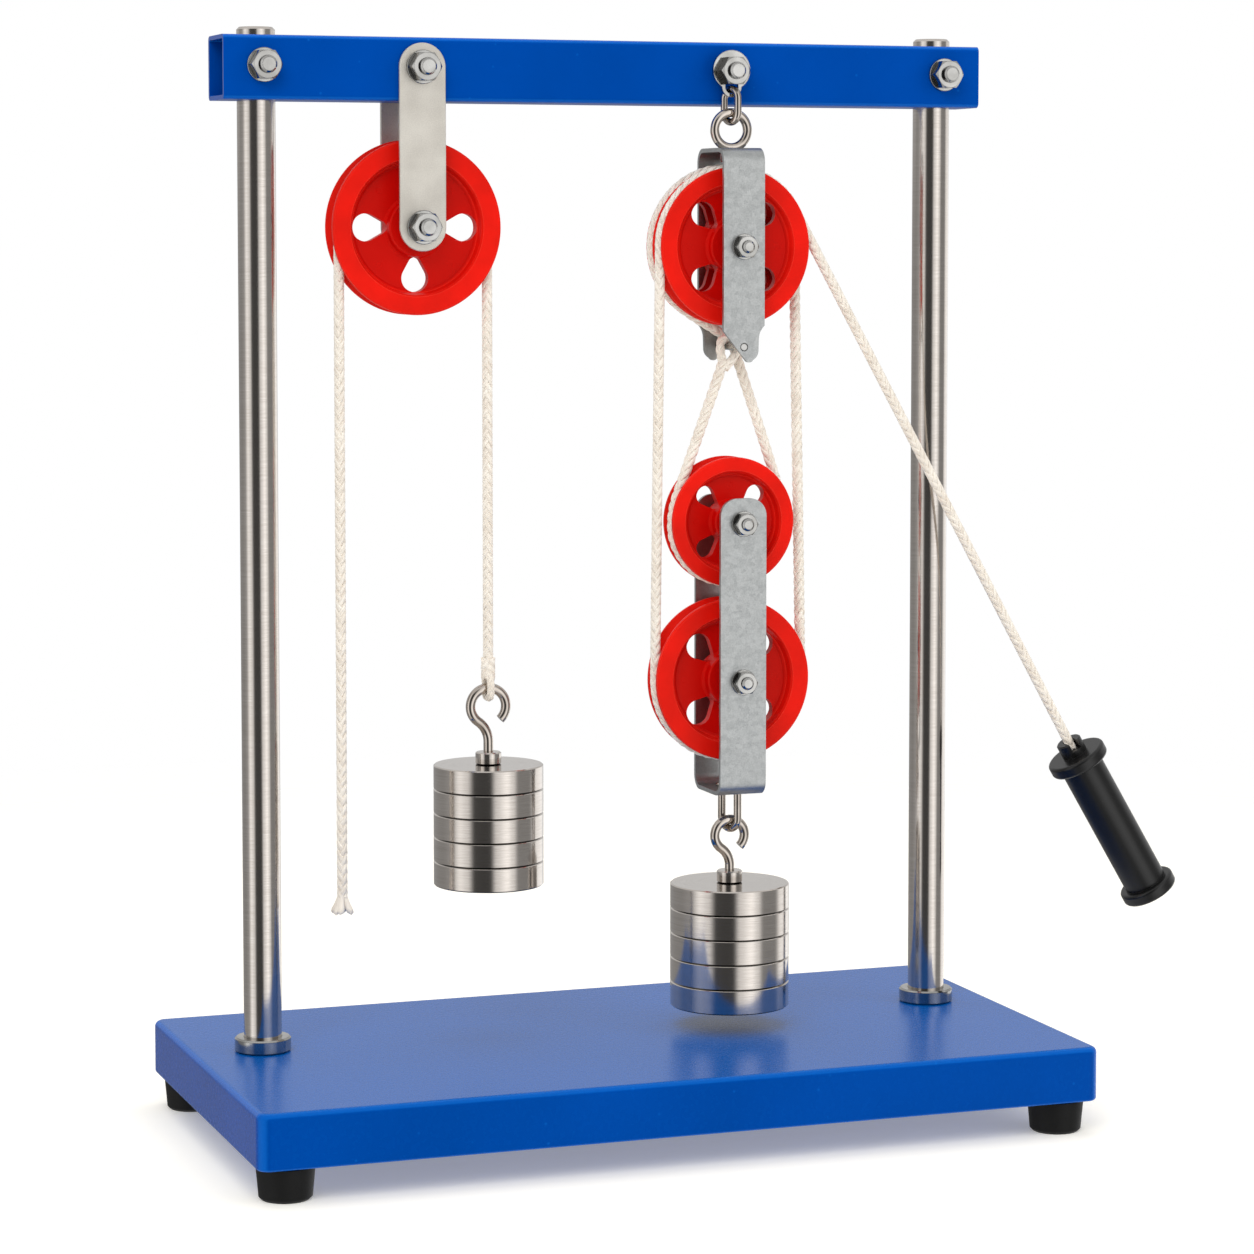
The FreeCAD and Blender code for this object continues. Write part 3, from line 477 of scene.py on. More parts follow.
@dataclass(frozen=True)
class Enamel(Finish):
    """Sprayed gloss paint with a faint orange peel and light specks, painted highlights on its rounded edges
    and sometimes painted light on its upper face.
    """

    colour: Colour
    highlight_and_speck_colour: Colour
    roughness: float = 0.3
    peel_width: float = 0.0016
    peel_depth: float = 0.00003
    ior: float = 1.38
    tint: Colour = (0.0, 0.3, 1.0)
    painted_top_light_and_floor_fade: Colour | None = None
    highlight_share: float = 0.3

    def build(self, effects: Effects) -> bpy.types.Material:
        """Make the paint."""
        material, tree, shader, place = self.start()
        peel = use_group(tree, effects.grain, Place=place, Width=self.peel_width, Depth=self.peel_depth)
        cloud = use_group(tree, effects.grain, Place=place, Width=0.06, Detail=4.0)
        specks = use_group(tree, effects.specks, Place=place, Spacing=0.006, Share=0.25)
        deep = tuple(0.86 * c for c in self.colour)
        coat = mixed_colour(tree, ranged(tree, cloud.outputs["Tone"], 0.3, 0.7), deep, self.colour)
        # The specks, dust in the paint, take the same lighter blue as the edge highlights.
        coat = stain_or_painted_light(tree, specks.outputs["Mask"], 0.25, coat, self.highlight_and_speck_colour)
        # Painted highlight: the rounded edges are mixed towards a lighter blue, standing in for the light
        # they reflect.
        box = use_group(tree, effects.box_edges).outputs
        # Painted light: the upper face is mixed towards a lighter blue, standing in for the light that falls
        # on it from above.
        if self.painted_top_light_and_floor_fade is not None:
            coat = stain_or_painted_light(tree, box["Upper"], 0.9, coat, self.painted_top_light_and_floor_fade)
        surface = {
            "Base Color": stain_or_painted_light(tree, box["Rounded"], self.highlight_share, coat, self.highlight_and_speck_colour),
            "Roughness": varied(tree, peel.outputs["Tone"], self.roughness, 0.95, 1.05),
            "Normal": peel.outputs["Normal"],
            "IOR": self.ior,
            "Specular Tint": (*self.tint, 1.0),
        }
        set_inputs(tree, shader, surface)
        return material


@dataclass(frozen=True)
class TurnedSteel(Finish):
    """Bright steel turned or ground round an upright axis."""

    colour: Colour
    dark: Colour
    axis: Point = ORIGIN
    roughness: float = 0.2
    line_width: float = 0.0004
    line_depth: float = 0.000003
    anisotropy: float = 0.4
    groove_shade: float = 0.0
    groove_shade_colour: Colour = (0.01, 0.008, 0.006)

    def build(self, effects: Effects) -> bpy.types.Material:
        """Make the steel, with painted shade on its downward-facing faces, as in the grooves between discs,
        where a groove shade is given.
        """
        material, tree, shader, place = self.start()
        round_axis = {"Place": place, "Axis": self.axis}
        lines = use_group(tree, effects.lathe, **round_axis, Width=self.line_width, Depth=self.line_depth)
        wide = use_group(tree, effects.lathe, **round_axis, Width=self.line_width * 9, Depth=0.0)
        tone = two_tones(tree, lines.outputs["Tone"], wide.outputs["Tone"], 0.8)
        metal = mixed_colour(tree, ranged(tree, tone, 0.35, 0.65), self.dark, self.colour)
        if self.groove_shade:
            # Painted shade: downward-facing faces, such as the lower chamfers in the grooves between discs,
            # are mixed towards near black.
            normal = add_node(tree, "ShaderNodeNewGeometry").outputs["Normal"]
            under = ranged(tree, parts_of(tree, normal)["Z"], -0.2, -0.45, smooth=True)
            metal = stain_or_painted_light(tree, under, self.groove_shade, metal, self.groove_shade_colour)
        surface = {
            "Base Color": metal,
            "Roughness": varied(tree, lines.outputs["Tone"], self.roughness, 1.25, 0.8),
            "Normal": lines.outputs["Normal"],
            "Metallic": 1.0,
            "Anisotropic": self.anisotropy,
        }
        set_inputs(tree, shader, surface)
        return material


@dataclass(frozen=True)
class BrightMetal(Finish):
    """Plated small parts and bent wire: nearly a mirror, with faint drawing marks and stains."""

    colour: Colour
    dark: Colour
    roughness: float = 0.12
    grain_width: float = 0.0009
    grain_depth: float = 0.000006
    edge_shade: float = 0.0

    def build(self, effects: Effects) -> bpy.types.Material:
        """Make the metal, with painted shade along its edges where an edge shade is given."""
        material, tree, shader, place = self.start()
        fine = {"Width": self.grain_width, "Depth": self.grain_depth, "Detail": 4.0}
        grain = use_group(tree, effects.grain, Place=place, **fine)
        stain = use_group(tree, effects.grain, Place=place, Width=0.009, Detail=3.0)
        metal = mixed_colour(tree, ranged(tree, stain.outputs["Tone"], 0.35, 0.65), self.dark, self.colour)
        if self.edge_shade:
            # Painted shade: the edges are darkened, standing in for the dark surroundings they reflect.
            edge = use_group(tree, effects.edges, Width=0.0007).outputs["Mask"]
            edge_shade_colour = tuple(0.12 * c for c in self.dark)
            metal = stain_or_painted_light(tree, edge, self.edge_shade, metal, edge_shade_colour)
        surface = {
            "Base Color": metal,
            "Roughness": varied(tree, grain.outputs["Tone"], self.roughness, 0.75, 1.35),
            "Normal": grain.outputs["Normal"],
            "Metallic": 1.0,
        }
        set_inputs(tree, shader, surface)
        return material


@dataclass(frozen=True)
class ZincCoat(Finish):
    """Galvanised sheet with its crystal pattern."""

    colour: Colour
    dark: Colour
    roughness: float = 0.36
    crystal_width: float = 0.005

    def build(self, effects: Effects) -> bpy.types.Material:
        """Make the coat."""
        material, tree, shader, place = self.start()
        crystals = use_group(tree, effects.spangle, Place=place, Width=self.crystal_width, Depth=0.000006)
        grain = use_group(tree, effects.grain, Place=place, Width=0.0006, Depth=0.000008, Detail=3.0)
        tone = two_tones(tree, crystals.outputs["Tone"], grain.outputs["Tone"], 0.4)
        surface = {
            "Base Color": mixed_colour(tree, ranged(tree, tone, *NOISE_REACH), self.dark, self.colour),
            "Roughness": varied(tree, tone, self.roughness, 1.2, 0.85),
            "Normal": crystals.outputs["Normal"],
            "Metallic": 0.85,
        }
        set_inputs(tree, shader, surface)
        return material


@dataclass(frozen=True)
class DullNickel(Finish):
    """Matt nickel on flat straps, with fine specks and a few pits."""

    colour: Colour
    dark: Colour
    roughness: float = 0.42

    def build(self, effects: Effects) -> bpy.types.Material:
        """Make the plating."""
        material, tree, shader, place = self.start()
        grain = use_group(tree, effects.grain, Place=place, Width=0.0006, Depth=0.000012, Detail=4.0)
        cloud = use_group(tree, effects.grain, Place=place, Width=0.014, Detail=3.0)
        pits = use_group(tree, effects.specks, Place=place, Spacing=0.0035, Share=0.2)
        tone = two_tones(tree, grain.outputs["Tone"], cloud.outputs["Tone"], 0.5)
        coat = mixed_colour(tree, ranged(tree, tone, 0.38, 0.62), self.dark, self.colour)
        surface = {
            "Base Color": stain_or_painted_light(tree, pits.outputs["Mask"], 0.35, coat, self.dark, "MULTIPLY"),
            "Roughness": varied(tree, grain.outputs["Tone"], self.roughness, 0.85, 1.2),
            "Normal": grain.outputs["Normal"],
            "Metallic": 0.75,
        }
        set_inputs(tree, shader, surface)
        return material


@dataclass(frozen=True)
class MouldedPlastic(Finish):
    """Satin injection-moulded plastic, sometimes with painted highlights along its edges, and on a wheel with
    the prints of the ejector pins and painted shade in its sunk web.
    """

    colour: Colour
    roughness: float = 0.4
    skin_width: float = 0.0005
    skin_depth: float = 0.000008
    highlight_and_speck_colour: Colour | None = None
    axle: Point | None = None
    pin_circle: float = 0.024
    pin_turn: float = 0.0
    pin_depth: float = 0.00008
    web_reach: float = 0.03
    web_blend: float = 0.0012
    web_shade_share: float = 0.8
    web_shade_colour: Colour = (0.5, 0.0, 0.0)
    ior: float = 1.4
    tint: Colour = (1.0, 1.0, 1.0)

    def build(self, effects: Effects) -> bpy.types.Material:
        """Make the plastic."""
        material, tree, shader, place = self.start()
        fine = {"Width": self.skin_width, "Depth": self.skin_depth, "Detail": 3.0}
        skin = use_group(tree, effects.grain, Place=place, **fine)
        flow = use_group(tree, effects.grain, Place=place, Width=0.02, Detail=3.0)
        deep = tuple(0.84 * c for c in self.colour)
        plastic = mixed_colour(tree, ranged(tree, flow.outputs["Tone"], 0.35, 0.65), deep, self.colour)
        # Painted highlight: the edges are mixed towards a lighter colour, standing in for the light they
        # catch.
        if self.highlight_and_speck_colour is not None:
            edge = use_group(tree, effects.edges, Width=0.0005).outputs["Mask"]
            plastic = stain_or_painted_light(tree, edge, 0.5, plastic, self.highlight_and_speck_colour)
        normal = skin.outputs["Normal"]
        if self.axle is not None:
            given = {"Axle": self.axle, "Turn": self.pin_turn, "Circle": self.pin_circle}
            marks = use_group(tree, effects.pin_marks, Place=place, **given)
            pressed = {"Height": marks.outputs["Height"], "Distance": self.pin_depth, "Strength": 0.8}
            normal = add_node(tree, "ShaderNodeBump", {**pressed, "Normal": normal}).outputs["Normal"]
            # Painted shade: inside the web's reach the red is mixed towards a deeper red, standing in for the
            # shade in the sunk web.
            inside = self.web_reach - self.web_blend
            web = ranged(tree, marks.outputs["Radius"], self.web_reach, inside, smooth=True)
            plastic = stain_or_painted_light(tree, web, self.web_shade_share, plastic, self.web_shade_colour)
        surface = {
            "Base Color": plastic,
            "Roughness": varied(tree, skin.outputs["Tone"], self.roughness, 0.9, 1.15),
            "Normal": normal,
            "IOR": self.ior,
            "Specular Tint": (*self.tint, 1.0),
        }
        set_inputs(tree, shader, surface)
        return material


@dataclass(frozen=True)
class CottonYarn(Finish):
    """Bleached cotton: fine fibres along each strand and soft sheen."""

    colour: Colour
    shade: Colour

    def build(self, effects: Effects) -> bpy.types.Material:
        """Make the yarn; its fibres follow the strands' own coordinates."""
        material, tree, shader, place = self.start()
        fibre = add_node(tree, "ShaderNodeAttribute", attribute_name=Braid.FIBRE_ATTRIBUTE)
        drawn = vector_node(tree, "MULTIPLY", fibre.outputs["Vector"], (1.6, 1.6, 160.0))
        streaks = {"Vector": drawn, "Scale": 1.0, "Detail": 4.0}
        streak = add_node(tree, "ShaderNodeTexNoise", streaks).outputs["Fac"]
        cloud = use_group(tree, effects.grain, Place=place, Width=0.007, Detail=3.0)
        tone = two_tones(tree, streak, cloud.outputs["Tone"], 0.7)
        bump = {"Height": streak, "Distance": 0.00015, "Strength": 0.6}
        surface = {
            "Base Color": mixed_colour(tree, ranged(tree, tone, 0.35, 0.62), self.shade, self.colour),
            "Normal": add_node(tree, "ShaderNodeBump", bump).outputs["Normal"],
            "Roughness": 0.85,
            "Sheen Weight": 0.25,
            "Specular IOR Level": 0.2,
        }
        set_inputs(tree, shader, surface)
        return material


# ---------------------------------------------------------------- places in the frame

POST_Y = 0.020
LIFT_X = -0.1064
LIFT_Y = POST_Y
FREE_X = -0.1796
FIXED_X = -0.143
HANG_X = 0.010
FRONT_Y = -0.00375
REAR_Y = 0.00775
LOWER_Y = 0.0005
UPPER_Z = 0.4228

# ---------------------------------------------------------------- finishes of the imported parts

LEFT_STACK_AXIS = (LIFT_X, LIFT_Y, 0.0)
RIGHT_STACK_AXIS = (HANG_X, -0.002, 0.0)
# A lighter blue for the painted edge highlights and for the specks in the paint.
BLUE_HIGHLIGHT_AND_SPECK = (0.01, 0.19, 0.72)
BLACK = (0.006, 0.006, 0.006)

BLUE = Enamel("blue_enamel", colour=(0.0, 0.058, 0.36), highlight_and_speck_colour=BLUE_HIGHLIGHT_AND_SPECK, ior=1.3)
BLUE_TOP = Enamel(
    "blue_enamel_board",
    colour=(0.0, 0.055, 0.335),
    highlight_and_speck_colour=BLUE_HIGHLIGHT_AND_SPECK,
    # The board's upper face is painted lighter, standing in for the light from above.
    painted_top_light_and_floor_fade=(0.0, 0.095, 0.395),
    roughness=0.27,
    peel_width=0.0026,
    peel_depth=0.00002,
    ior=1.34,
)
STEEL = (0.63, 0.587, 0.545)
STEEL_SHADE = (0.52, 0.475, 0.435)
LEFT_POST = TurnedSteel("ground_steel_left", STEEL, STEEL_SHADE, axis=(-0.219, POST_Y, 0.0), roughness=0.14)
RIGHT_POST = TurnedSteel("ground_steel_right", STEEL, STEEL_SHADE, axis=(0.125, POST_Y, 0.0), roughness=0.14)
LEFT_DISCS = TurnedSteel("turned_steel_left", STEEL, STEEL_SHADE, LEFT_STACK_AXIS, 0.13, groove_shade=0.95)
RIGHT_DISCS = TurnedSteel("turned_steel_right", STEEL, STEEL_SHADE, RIGHT_STACK_AXIS, 0.13, groove_shade=0.95)
ZINC_BRIGHT = BrightMetal("bright_zinc", (0.45, 0.445, 0.43), (0.33, 0.325, 0.31), edge_shade=0.7)
WIRE = BrightMetal("polished_wire", (0.58, 0.52, 0.465), (0.43, 0.38, 0.335), roughness=0.08)
GALVANISED = ZincCoat("galvanised_sheet", (0.44, 0.45, 0.447), (0.33, 0.342, 0.34), crystal_width=0.0022)
NICKEL_STRAP = DullNickel("dull_nickel", (0.65, 0.62, 0.56), (0.52, 0.49, 0.44))
RED = (0.78, 0.007, 0.003)
# The lighter red of the painted edge highlights on the wheels.
RED_HIGHLIGHT = (1.0, 0.10, 0.06)
RED_TINT = (1.0, 0.35, 0.25)
BLACK_PLASTIC = MouldedPlastic("black_plastic", BLACK, 0.32, highlight_and_speck_colour=(0.05, 0.05, 0.05), ior=1.45)
BLACK_RUBBER = MouldedPlastic("black_rubber", BLACK, roughness=0.6, skin_depth=0.00003, ior=1.3)
COTTON = CottonYarn("bleached_cotton", colour=(0.90, 0.85, 0.77), shade=(0.72, 0.64, 0.55))


def red_wheel(name: str, x: float, z: float, circle: float, web: float, turn: float) -> MouldedPlastic:
    """Describe the red plastic of one wheel.

    Args:
        name: which wheel it is.
        x: the axle's X.
        z: the axle's Z.
        circle: the radius of the ring of ejector pins.
        web: the radius of the sunk web, inside which the red is painted deeper as shade.
        turn: the angle of the first pin, in degrees.

    Returns:
        The wheel's finish.
    """
    angle = math.radians(turn)
    place = {"axle": (x, 0.0, z), "pin_circle": circle, "pin_turn": angle, "web_reach": web}
    return MouldedPlastic(f"red_plastic_{name}", RED, highlight_and_speck_colour=RED_HIGHLIGHT, tint=RED_TINT, **place)


def stack(side: str) -> tuple[str, ...]:
    """Name the turned parts of one stack of discs.

    Args:
        side: left or right.

    Returns:
        The nodes of its collar, nut and discs.
    """
    discs = tuple(f"{side}_weight_disc_{number}" for number in range(1, 6))
    return (f"{side}_weight_collar", f"{side}_weight_nut", *discs)


NODE_FINISHES: dict[Finish, tuple[str, ...]] = {
    BLUE: ("beam",),
    BLUE_TOP: ("base",),
    LEFT_POST: ("post_left",),
    RIGHT_POST: ("post_right",),
    LEFT_DISCS: stack("left"),
    RIGHT_DISCS: stack("right"),
    ZINC_BRIGHT: (
        "base_screws",
        "beam_bolts",
        "beam_nuts",
        "post_collars",
        "fixed_axle",
        "fixed_axle_nut",
        "fixed_spacers",
        "eye_plate",
        "eye_plate_bush",
        "upper_axle",
        "upper_nuts",
        "upper_spacers",
        "lower_axles",
        "lower_axle_nuts",
        "lower_spacers",
        "becket_pin",
    ),
    WIRE: ("hanger_link", "upper_eye_bolt", "lower_staple", "left_weight_hook", "right_weight_hook"),
    GALVANISED: ("upper_fork", "lower_fork"),
    NICKEL_STRAP: ("strap_front", "strap_rear"),
    BLACK_PLASTIC: ("pull_handle",),
    BLACK_RUBBER: ("rubber_feet",),
    red_wheel("fixed_wheel", FIXED_X, 0.432, 0.0245, 0.0310, 45.0): ("fixed_wheel",),
    red_wheel("upper_front", HANG_X, UPPER_Z, 0.0225, 0.0284, 0.0): ("upper_front_wheel",),
    red_wheel("upper_rear", HANG_X, UPPER_Z, 0.0225, 0.0284, 0.0): ("upper_rear_wheel",),
    red_wheel("large", HANG_X, 0.2132, 0.0235, 0.0294, 0.0): ("large_wheel",),
    red_wheel("small", HANG_X, 0.2898, 0.0175, 0.0232, 0.0): ("small_wheel",),
}


def dress_frame(effects: Effects) -> None:
    """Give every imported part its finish.

    Args:
        effects: the shared effect groups.
    """
    for finish, names in NODE_FINISHES.items():
        material = finish.build(effects)
        for name in names:
            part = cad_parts[name]
            for slot in part.material_slots:
                slot.material = material
        LOG.info("%s on %s", finish.name, ", ".join(names))


# ---------------------------------------------------------------- braided cords


class Braid:
    """Geometry Nodes that braid strands round a line, made once and used for every cord."""

    FIBRE_ATTRIBUTE = "fibre"
    HELIX_RADIUS = 0.00162
    STRAND_RADIUS = 0.00128
    STRAND_FLATNESS = 0.56
    CORE_RADIUS = 0.00178
    WEAVE = 0.00038
    LAY = 0.0192
    SIDES = 8

    def __init__(self, material: bpy.types.Material) -> None:
        """Make the node group.

        Args:
            material: the yarn's material.
        """
        self.material = material
        self.tree = self._tree()

    def _tree(self) -> Tree:
        """Build the braid: copies of the line, wound both ways and waved in and out, then swept."""
        geometry = "NodeSocketGeometry"
        inputs = {
            "Line": (geometry, None),
            "Strands Each Way": ("NodeSocketInt", 4),
            "Lay": (FLOAT, self.LAY),
            "Helix Radius": (FLOAT, self.HELIX_RADIUS),
            "Strand Radius": (FLOAT, self.STRAND_RADIUS),
            "Weave": (FLOAT, self.WEAVE),
            "Step": (FLOAT, 0.0008),
            "Core Radius": (FLOAT, self.CORE_RADIUS),
            "Yarn": ("NodeSocketMaterial", None),
        }
        tree, given, result = new_group("Braid", "GeometryNodeTree", inputs, {"Cord": geometry})
        curve = add_node(tree, "GeometryNodeMeshToCurve", {"Mesh": given.outputs["Line"]}).outputs["Curve"]
        stepped = {"Curve": curve, "Length": given.outputs["Step"]}
        even = add_node(tree, "GeometryNodeResampleCurve", stepped, mode="LENGTH")
        kept = add_node(tree, "GeometryNodeCaptureAttribute", {"Geometry": even.outputs["Curve"]})
        wanted = {
            "Side": ("VECTOR", add_node(tree, "GeometryNodeInputNormal").outputs["Normal"]),
            "Along": ("VECTOR", add_node(tree, "GeometryNodeInputTangent").outputs["Tangent"]),
            "Reach": ("FLOAT", add_node(tree, "GeometryNodeSplineParameter").outputs["Length"]),
        }
        for label, (kind, source) in wanted.items():
            kept.capture_items.new(kind, label)
            tree.links.new(source, kept.inputs[label])
        both_ways = math_node(tree, "MULTIPLY", given.outputs["Strands Each Way"], 2.0)
        copies = {"Geometry": kept.outputs["Geometry"], "Amount": both_ways}
        strands = add_node(tree, "GeometryNodeDuplicateElements", copies, domain="SPLINE")
        outward, offset = self._strand_place(tree, given, kept, strands.outputs["Duplicate Index"])
        moved = {"Geometry": strands.outputs["Geometry"], "Offset": offset}
        wound = add_node(tree, "GeometryNodeSetPosition", moved)
        facing = {"Curve": wound.outputs["Geometry"], "Normal": outward}
        flat = add_node(tree, "GeometryNodeSetCurveNormal", facing, mode="FREE").outputs["Curve"]
        reach = kept.outputs["Reach"]
        sleeve = self._swept(tree, flat, given.outputs["Strand Radius"], reach, self.STRAND_FLATNESS)
        core = self._swept(tree, kept.outputs["Geometry"], given.outputs["Core Radius"], reach, 1.0)
        joined = add_node(tree, "GeometryNodeJoinGeometry")
        for part in (core, sleeve):
            tree.links.new(part, joined.inputs["Geometry"])
        smooth = add_node(tree, "GeometryNodeSetShadeSmooth", {"Geometry": joined.outputs["Geometry"]})
        real = add_node(tree, "GeometryNodeRealizeInstances", {"Geometry": smooth.outputs["Geometry"]})
        dyed = {"Geometry": real.outputs["Geometry"], "Material": given.outputs["Yarn"]}
        finished = add_node(tree, "GeometryNodeSetMaterial", dyed)
        tree.links.new(finished.outputs["Geometry"], result.inputs["Cord"])
        return tree

    @staticmethod
    def _strand_place(tree: Tree, given, kept, index) -> tuple[Socket, Socket]:
        """Say where each point of a strand lies from the line: over two strands, then under two.

        Args:
            tree: the node group.
            given: its input node.
            kept: the node that holds the line's frame and length.
            index: the strand's number; even ones wind one way, odd ones the other.

        Returns:
            The sockets of the outward direction and of the offset.
        """
        each_way = given.outputs["Strands Each Way"]
        way = math_node(tree, "MULTIPLY_ADD", math_node(tree, "MODULO", index, 2.0), 2.0, -1.0)
        pair = math_node(tree, "FLOOR", math_node(tree, "DIVIDE", index, 2.0))
        place = math_node(tree, "DIVIDE", pair, each_way)
        turns = math_node(tree, "DIVIDE", kept.outputs["Reach"], given.outputs["Lay"])
        turned = math_node(tree, "MULTIPLY_ADD", turns, way, place)
        angle = math_node(tree, "MULTIPLY", turned, math.tau)
        crossings = math_node(tree, "MULTIPLY_ADD", angle, 2.0, math.pi / 4)
        wave = math_node(tree, "MULTIPLY", math_node(tree, "COSINE", crossings), way)
        radius = math_node(tree, "MULTIPLY_ADD", wave, given.outputs["Weave"], given.outputs["Helix Radius"])
        side = kept.outputs["Side"]
        other = vector_node(tree, "CROSS_PRODUCT", kept.outputs["Along"], side)
        part_side = scaled_vector(tree, side, math_node(tree, "COSINE", angle))
        part_other = scaled_vector(tree, other, math_node(tree, "SINE", angle))
        outward = vector_node(tree, "ADD", part_side, part_other)
        return outward, scaled_vector(tree, outward, radius)

    @classmethod
    def _swept(cls, tree: Tree, line, radius, reach, flatness: float) -> Socket:
        """Sweep a flattened circle along a line and keep where each point lies, for the fibres.

        Args:
            tree: the node group.
            line: the curve's socket.
            radius: the circle's radius socket.
            reach: the socket of the length along the line.
            flatness: the share of the circle's height that is left, measured outward from the cord.

        Returns:
            The mesh's socket.
        """
        polygon = {"Resolution": cls.SIDES, "Radius": radius}
        circle = add_node(tree, "GeometryNodeCurvePrimitiveCircle", polygon)
        rim = add_node(tree, "GeometryNodeCaptureAttribute", {"Geometry": circle.outputs["Curve"]})
        rim.capture_items.new("VECTOR", "Across")
        tree.links.new(add_node(tree, "GeometryNodeInputPosition").outputs["Position"], rim.inputs["Across"])
        pressed = {"Geometry": rim.outputs["Geometry"], "Scale": (flatness, 1.0, 1.0)}
        profile = add_node(tree, "GeometryNodeTransform", pressed).outputs["Geometry"]
        sweep = {"Curve": line, "Profile Curve": profile, "Fill Caps": True}
        mesh = add_node(tree, "GeometryNodeCurveToMesh", sweep).outputs["Mesh"]
        across = scaled_vector(tree, rim.outputs["Across"], math_node(tree, "DIVIDE", 1.0, radius))
        fibre = vector_node(tree, "ADD", across, combined(tree, Z=reach))
        stored = {"Geometry": mesh, "Name": cls.FIBRE_ATTRIBUTE, "Value": fibre}
        kinds = {"data_type": "FLOAT_VECTOR", "domain": "POINT"}
        return add_node(tree, "GeometryNodeStoreNamedAttribute", stored, **kinds).outputs["Geometry"]

    def on_line(self, name: str, line: bpy.types.Mesh, sizes: dict[str, float]) -> bpy.types.Object:
        """Braid a cord along a line.

        Args:
            name: the cord's name.
            line: a mesh whose edges are the line.
            sizes: values for the group's inputs by name.

        Returns:
            The cord as a plain mesh object.
        """
        carrier = bpy.data.objects.new(f"{name}_line", line)
        bpy.context.scene.collection.objects.link(carrier)
        modifier = carrier.modifiers.new("braid", "NODES")
        modifier.node_group = self.tree
        items = self.tree.interface.items_tree
        sockets = {item.name: item.identifier for item in items if item.in_out == "INPUT"}
        for label, value in {**sizes, "Yarn": self.material}.items():
            modifier[sockets[label]] = value
        bpy.context.view_layer.update()
        graph = bpy.context.evaluated_depsgraph_get()
        mesh = bpy.data.meshes.new_from_object(carrier.evaluated_get(graph), depsgraph=graph)
        carrier.modifiers.remove(modifier)
        bpy.data.objects.remove(carrier)
        cord = bpy.data.objects.new(name, mesh)
        mesh.name = name
        bpy.context.scene.collection.objects.link(cord)
        return cord


def smooth_line(name: str, route: tuple[Point, ...]) -> bpy.types.Mesh:
    """Draw the smooth line that a route's points guide.

    Args:
        name: a name for the line.
        route: the points, in metres.

    Returns:
        A mesh of the line's points, joined in order by edges.
    """
    curve = bpy.data.curves.new(name, "CURVE")
    curve.dimensions = "3D"
    curve.resolution_u = 24
    spline = curve.splines.new("NURBS")
    spline.points.add(len(route) - 1)
    for control, place in zip(spline.points, route):
        control.co = (*place, 1.0)
    spline.order_u = 3
    spline.use_endpoint_u = True
    guide = bpy.data.objects.new(name, curve)
    bpy.context.scene.collection.objects.link(guide)
    bpy.context.view_layer.update()
    line = bpy.data.meshes.new_from_object(guide)
    bpy.data.objects.remove(guide)
    return line


@dataclass(frozen=True)
class Cord:
    """One stretch of braided cord between two bodies that a joint connects."""

    name: str
    route: tuple[Point, ...]
    nodes: tuple[str, ...]
    bodies: tuple[str, str]
    stretch: tuple[Point, Point]
    length: float
    far_end: str = "object"
    lay: str = "taut"
    ends: tuple[str, ...] = ()

    def build(self, braid: Braid, pieces: dict[str, bpy.types.Object]) -> bpy.types.Object:
        """Make the cord.

        Args:
            braid: the braid's node group.
            pieces: the pieces already made, by name, for the cord's ends; not used.

        Returns:
            The cord.
        """
        line = smooth_line(f"{self.name}_route", self.route)
        path = [tuple(vertex.co) for vertex in line.vertices]
        cord = braid.on_line(self.name, line, {"Lay": Braid.LAY})
        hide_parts(*self.nodes)
        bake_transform(cord)
        measured = sum(math.dist(a, b) for a, b in zip(path, path[1:]))
        LOG.info("%s is %.1f mm long", self.name, measured / MM)
        return cord


@dataclass(frozen=True)
class CordEye:
    """A small spliced loop of cord round a wire or pin."""

    name: str
    route: tuple[Point, ...]
    body: str
    nodes: tuple[str, ...] = ()
    scale: float = 0.84
    lay: float = 0.0165

    def build(self, braid: Braid) -> bpy.types.Object:
        """Make the loop from cord of its own scale, braided tighter.

        Args:
            braid: the braid's node group.

        Returns:
            The loop.
        """
        sizes = {
            "Lay": self.lay,
            "Helix Radius": Braid.HELIX_RADIUS * self.scale,
            "Strand Radius": Braid.STRAND_RADIUS * self.scale,
            "Core Radius": Braid.CORE_RADIUS * self.scale,
            "Weave": Braid.WEAVE * self.scale,
        }
        loop = braid.on_line(self.name, smooth_line(f"{self.name}_route", self.route), sizes)
        if self.nodes:
            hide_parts(*self.nodes)
        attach(loop, self.body)
        return loop


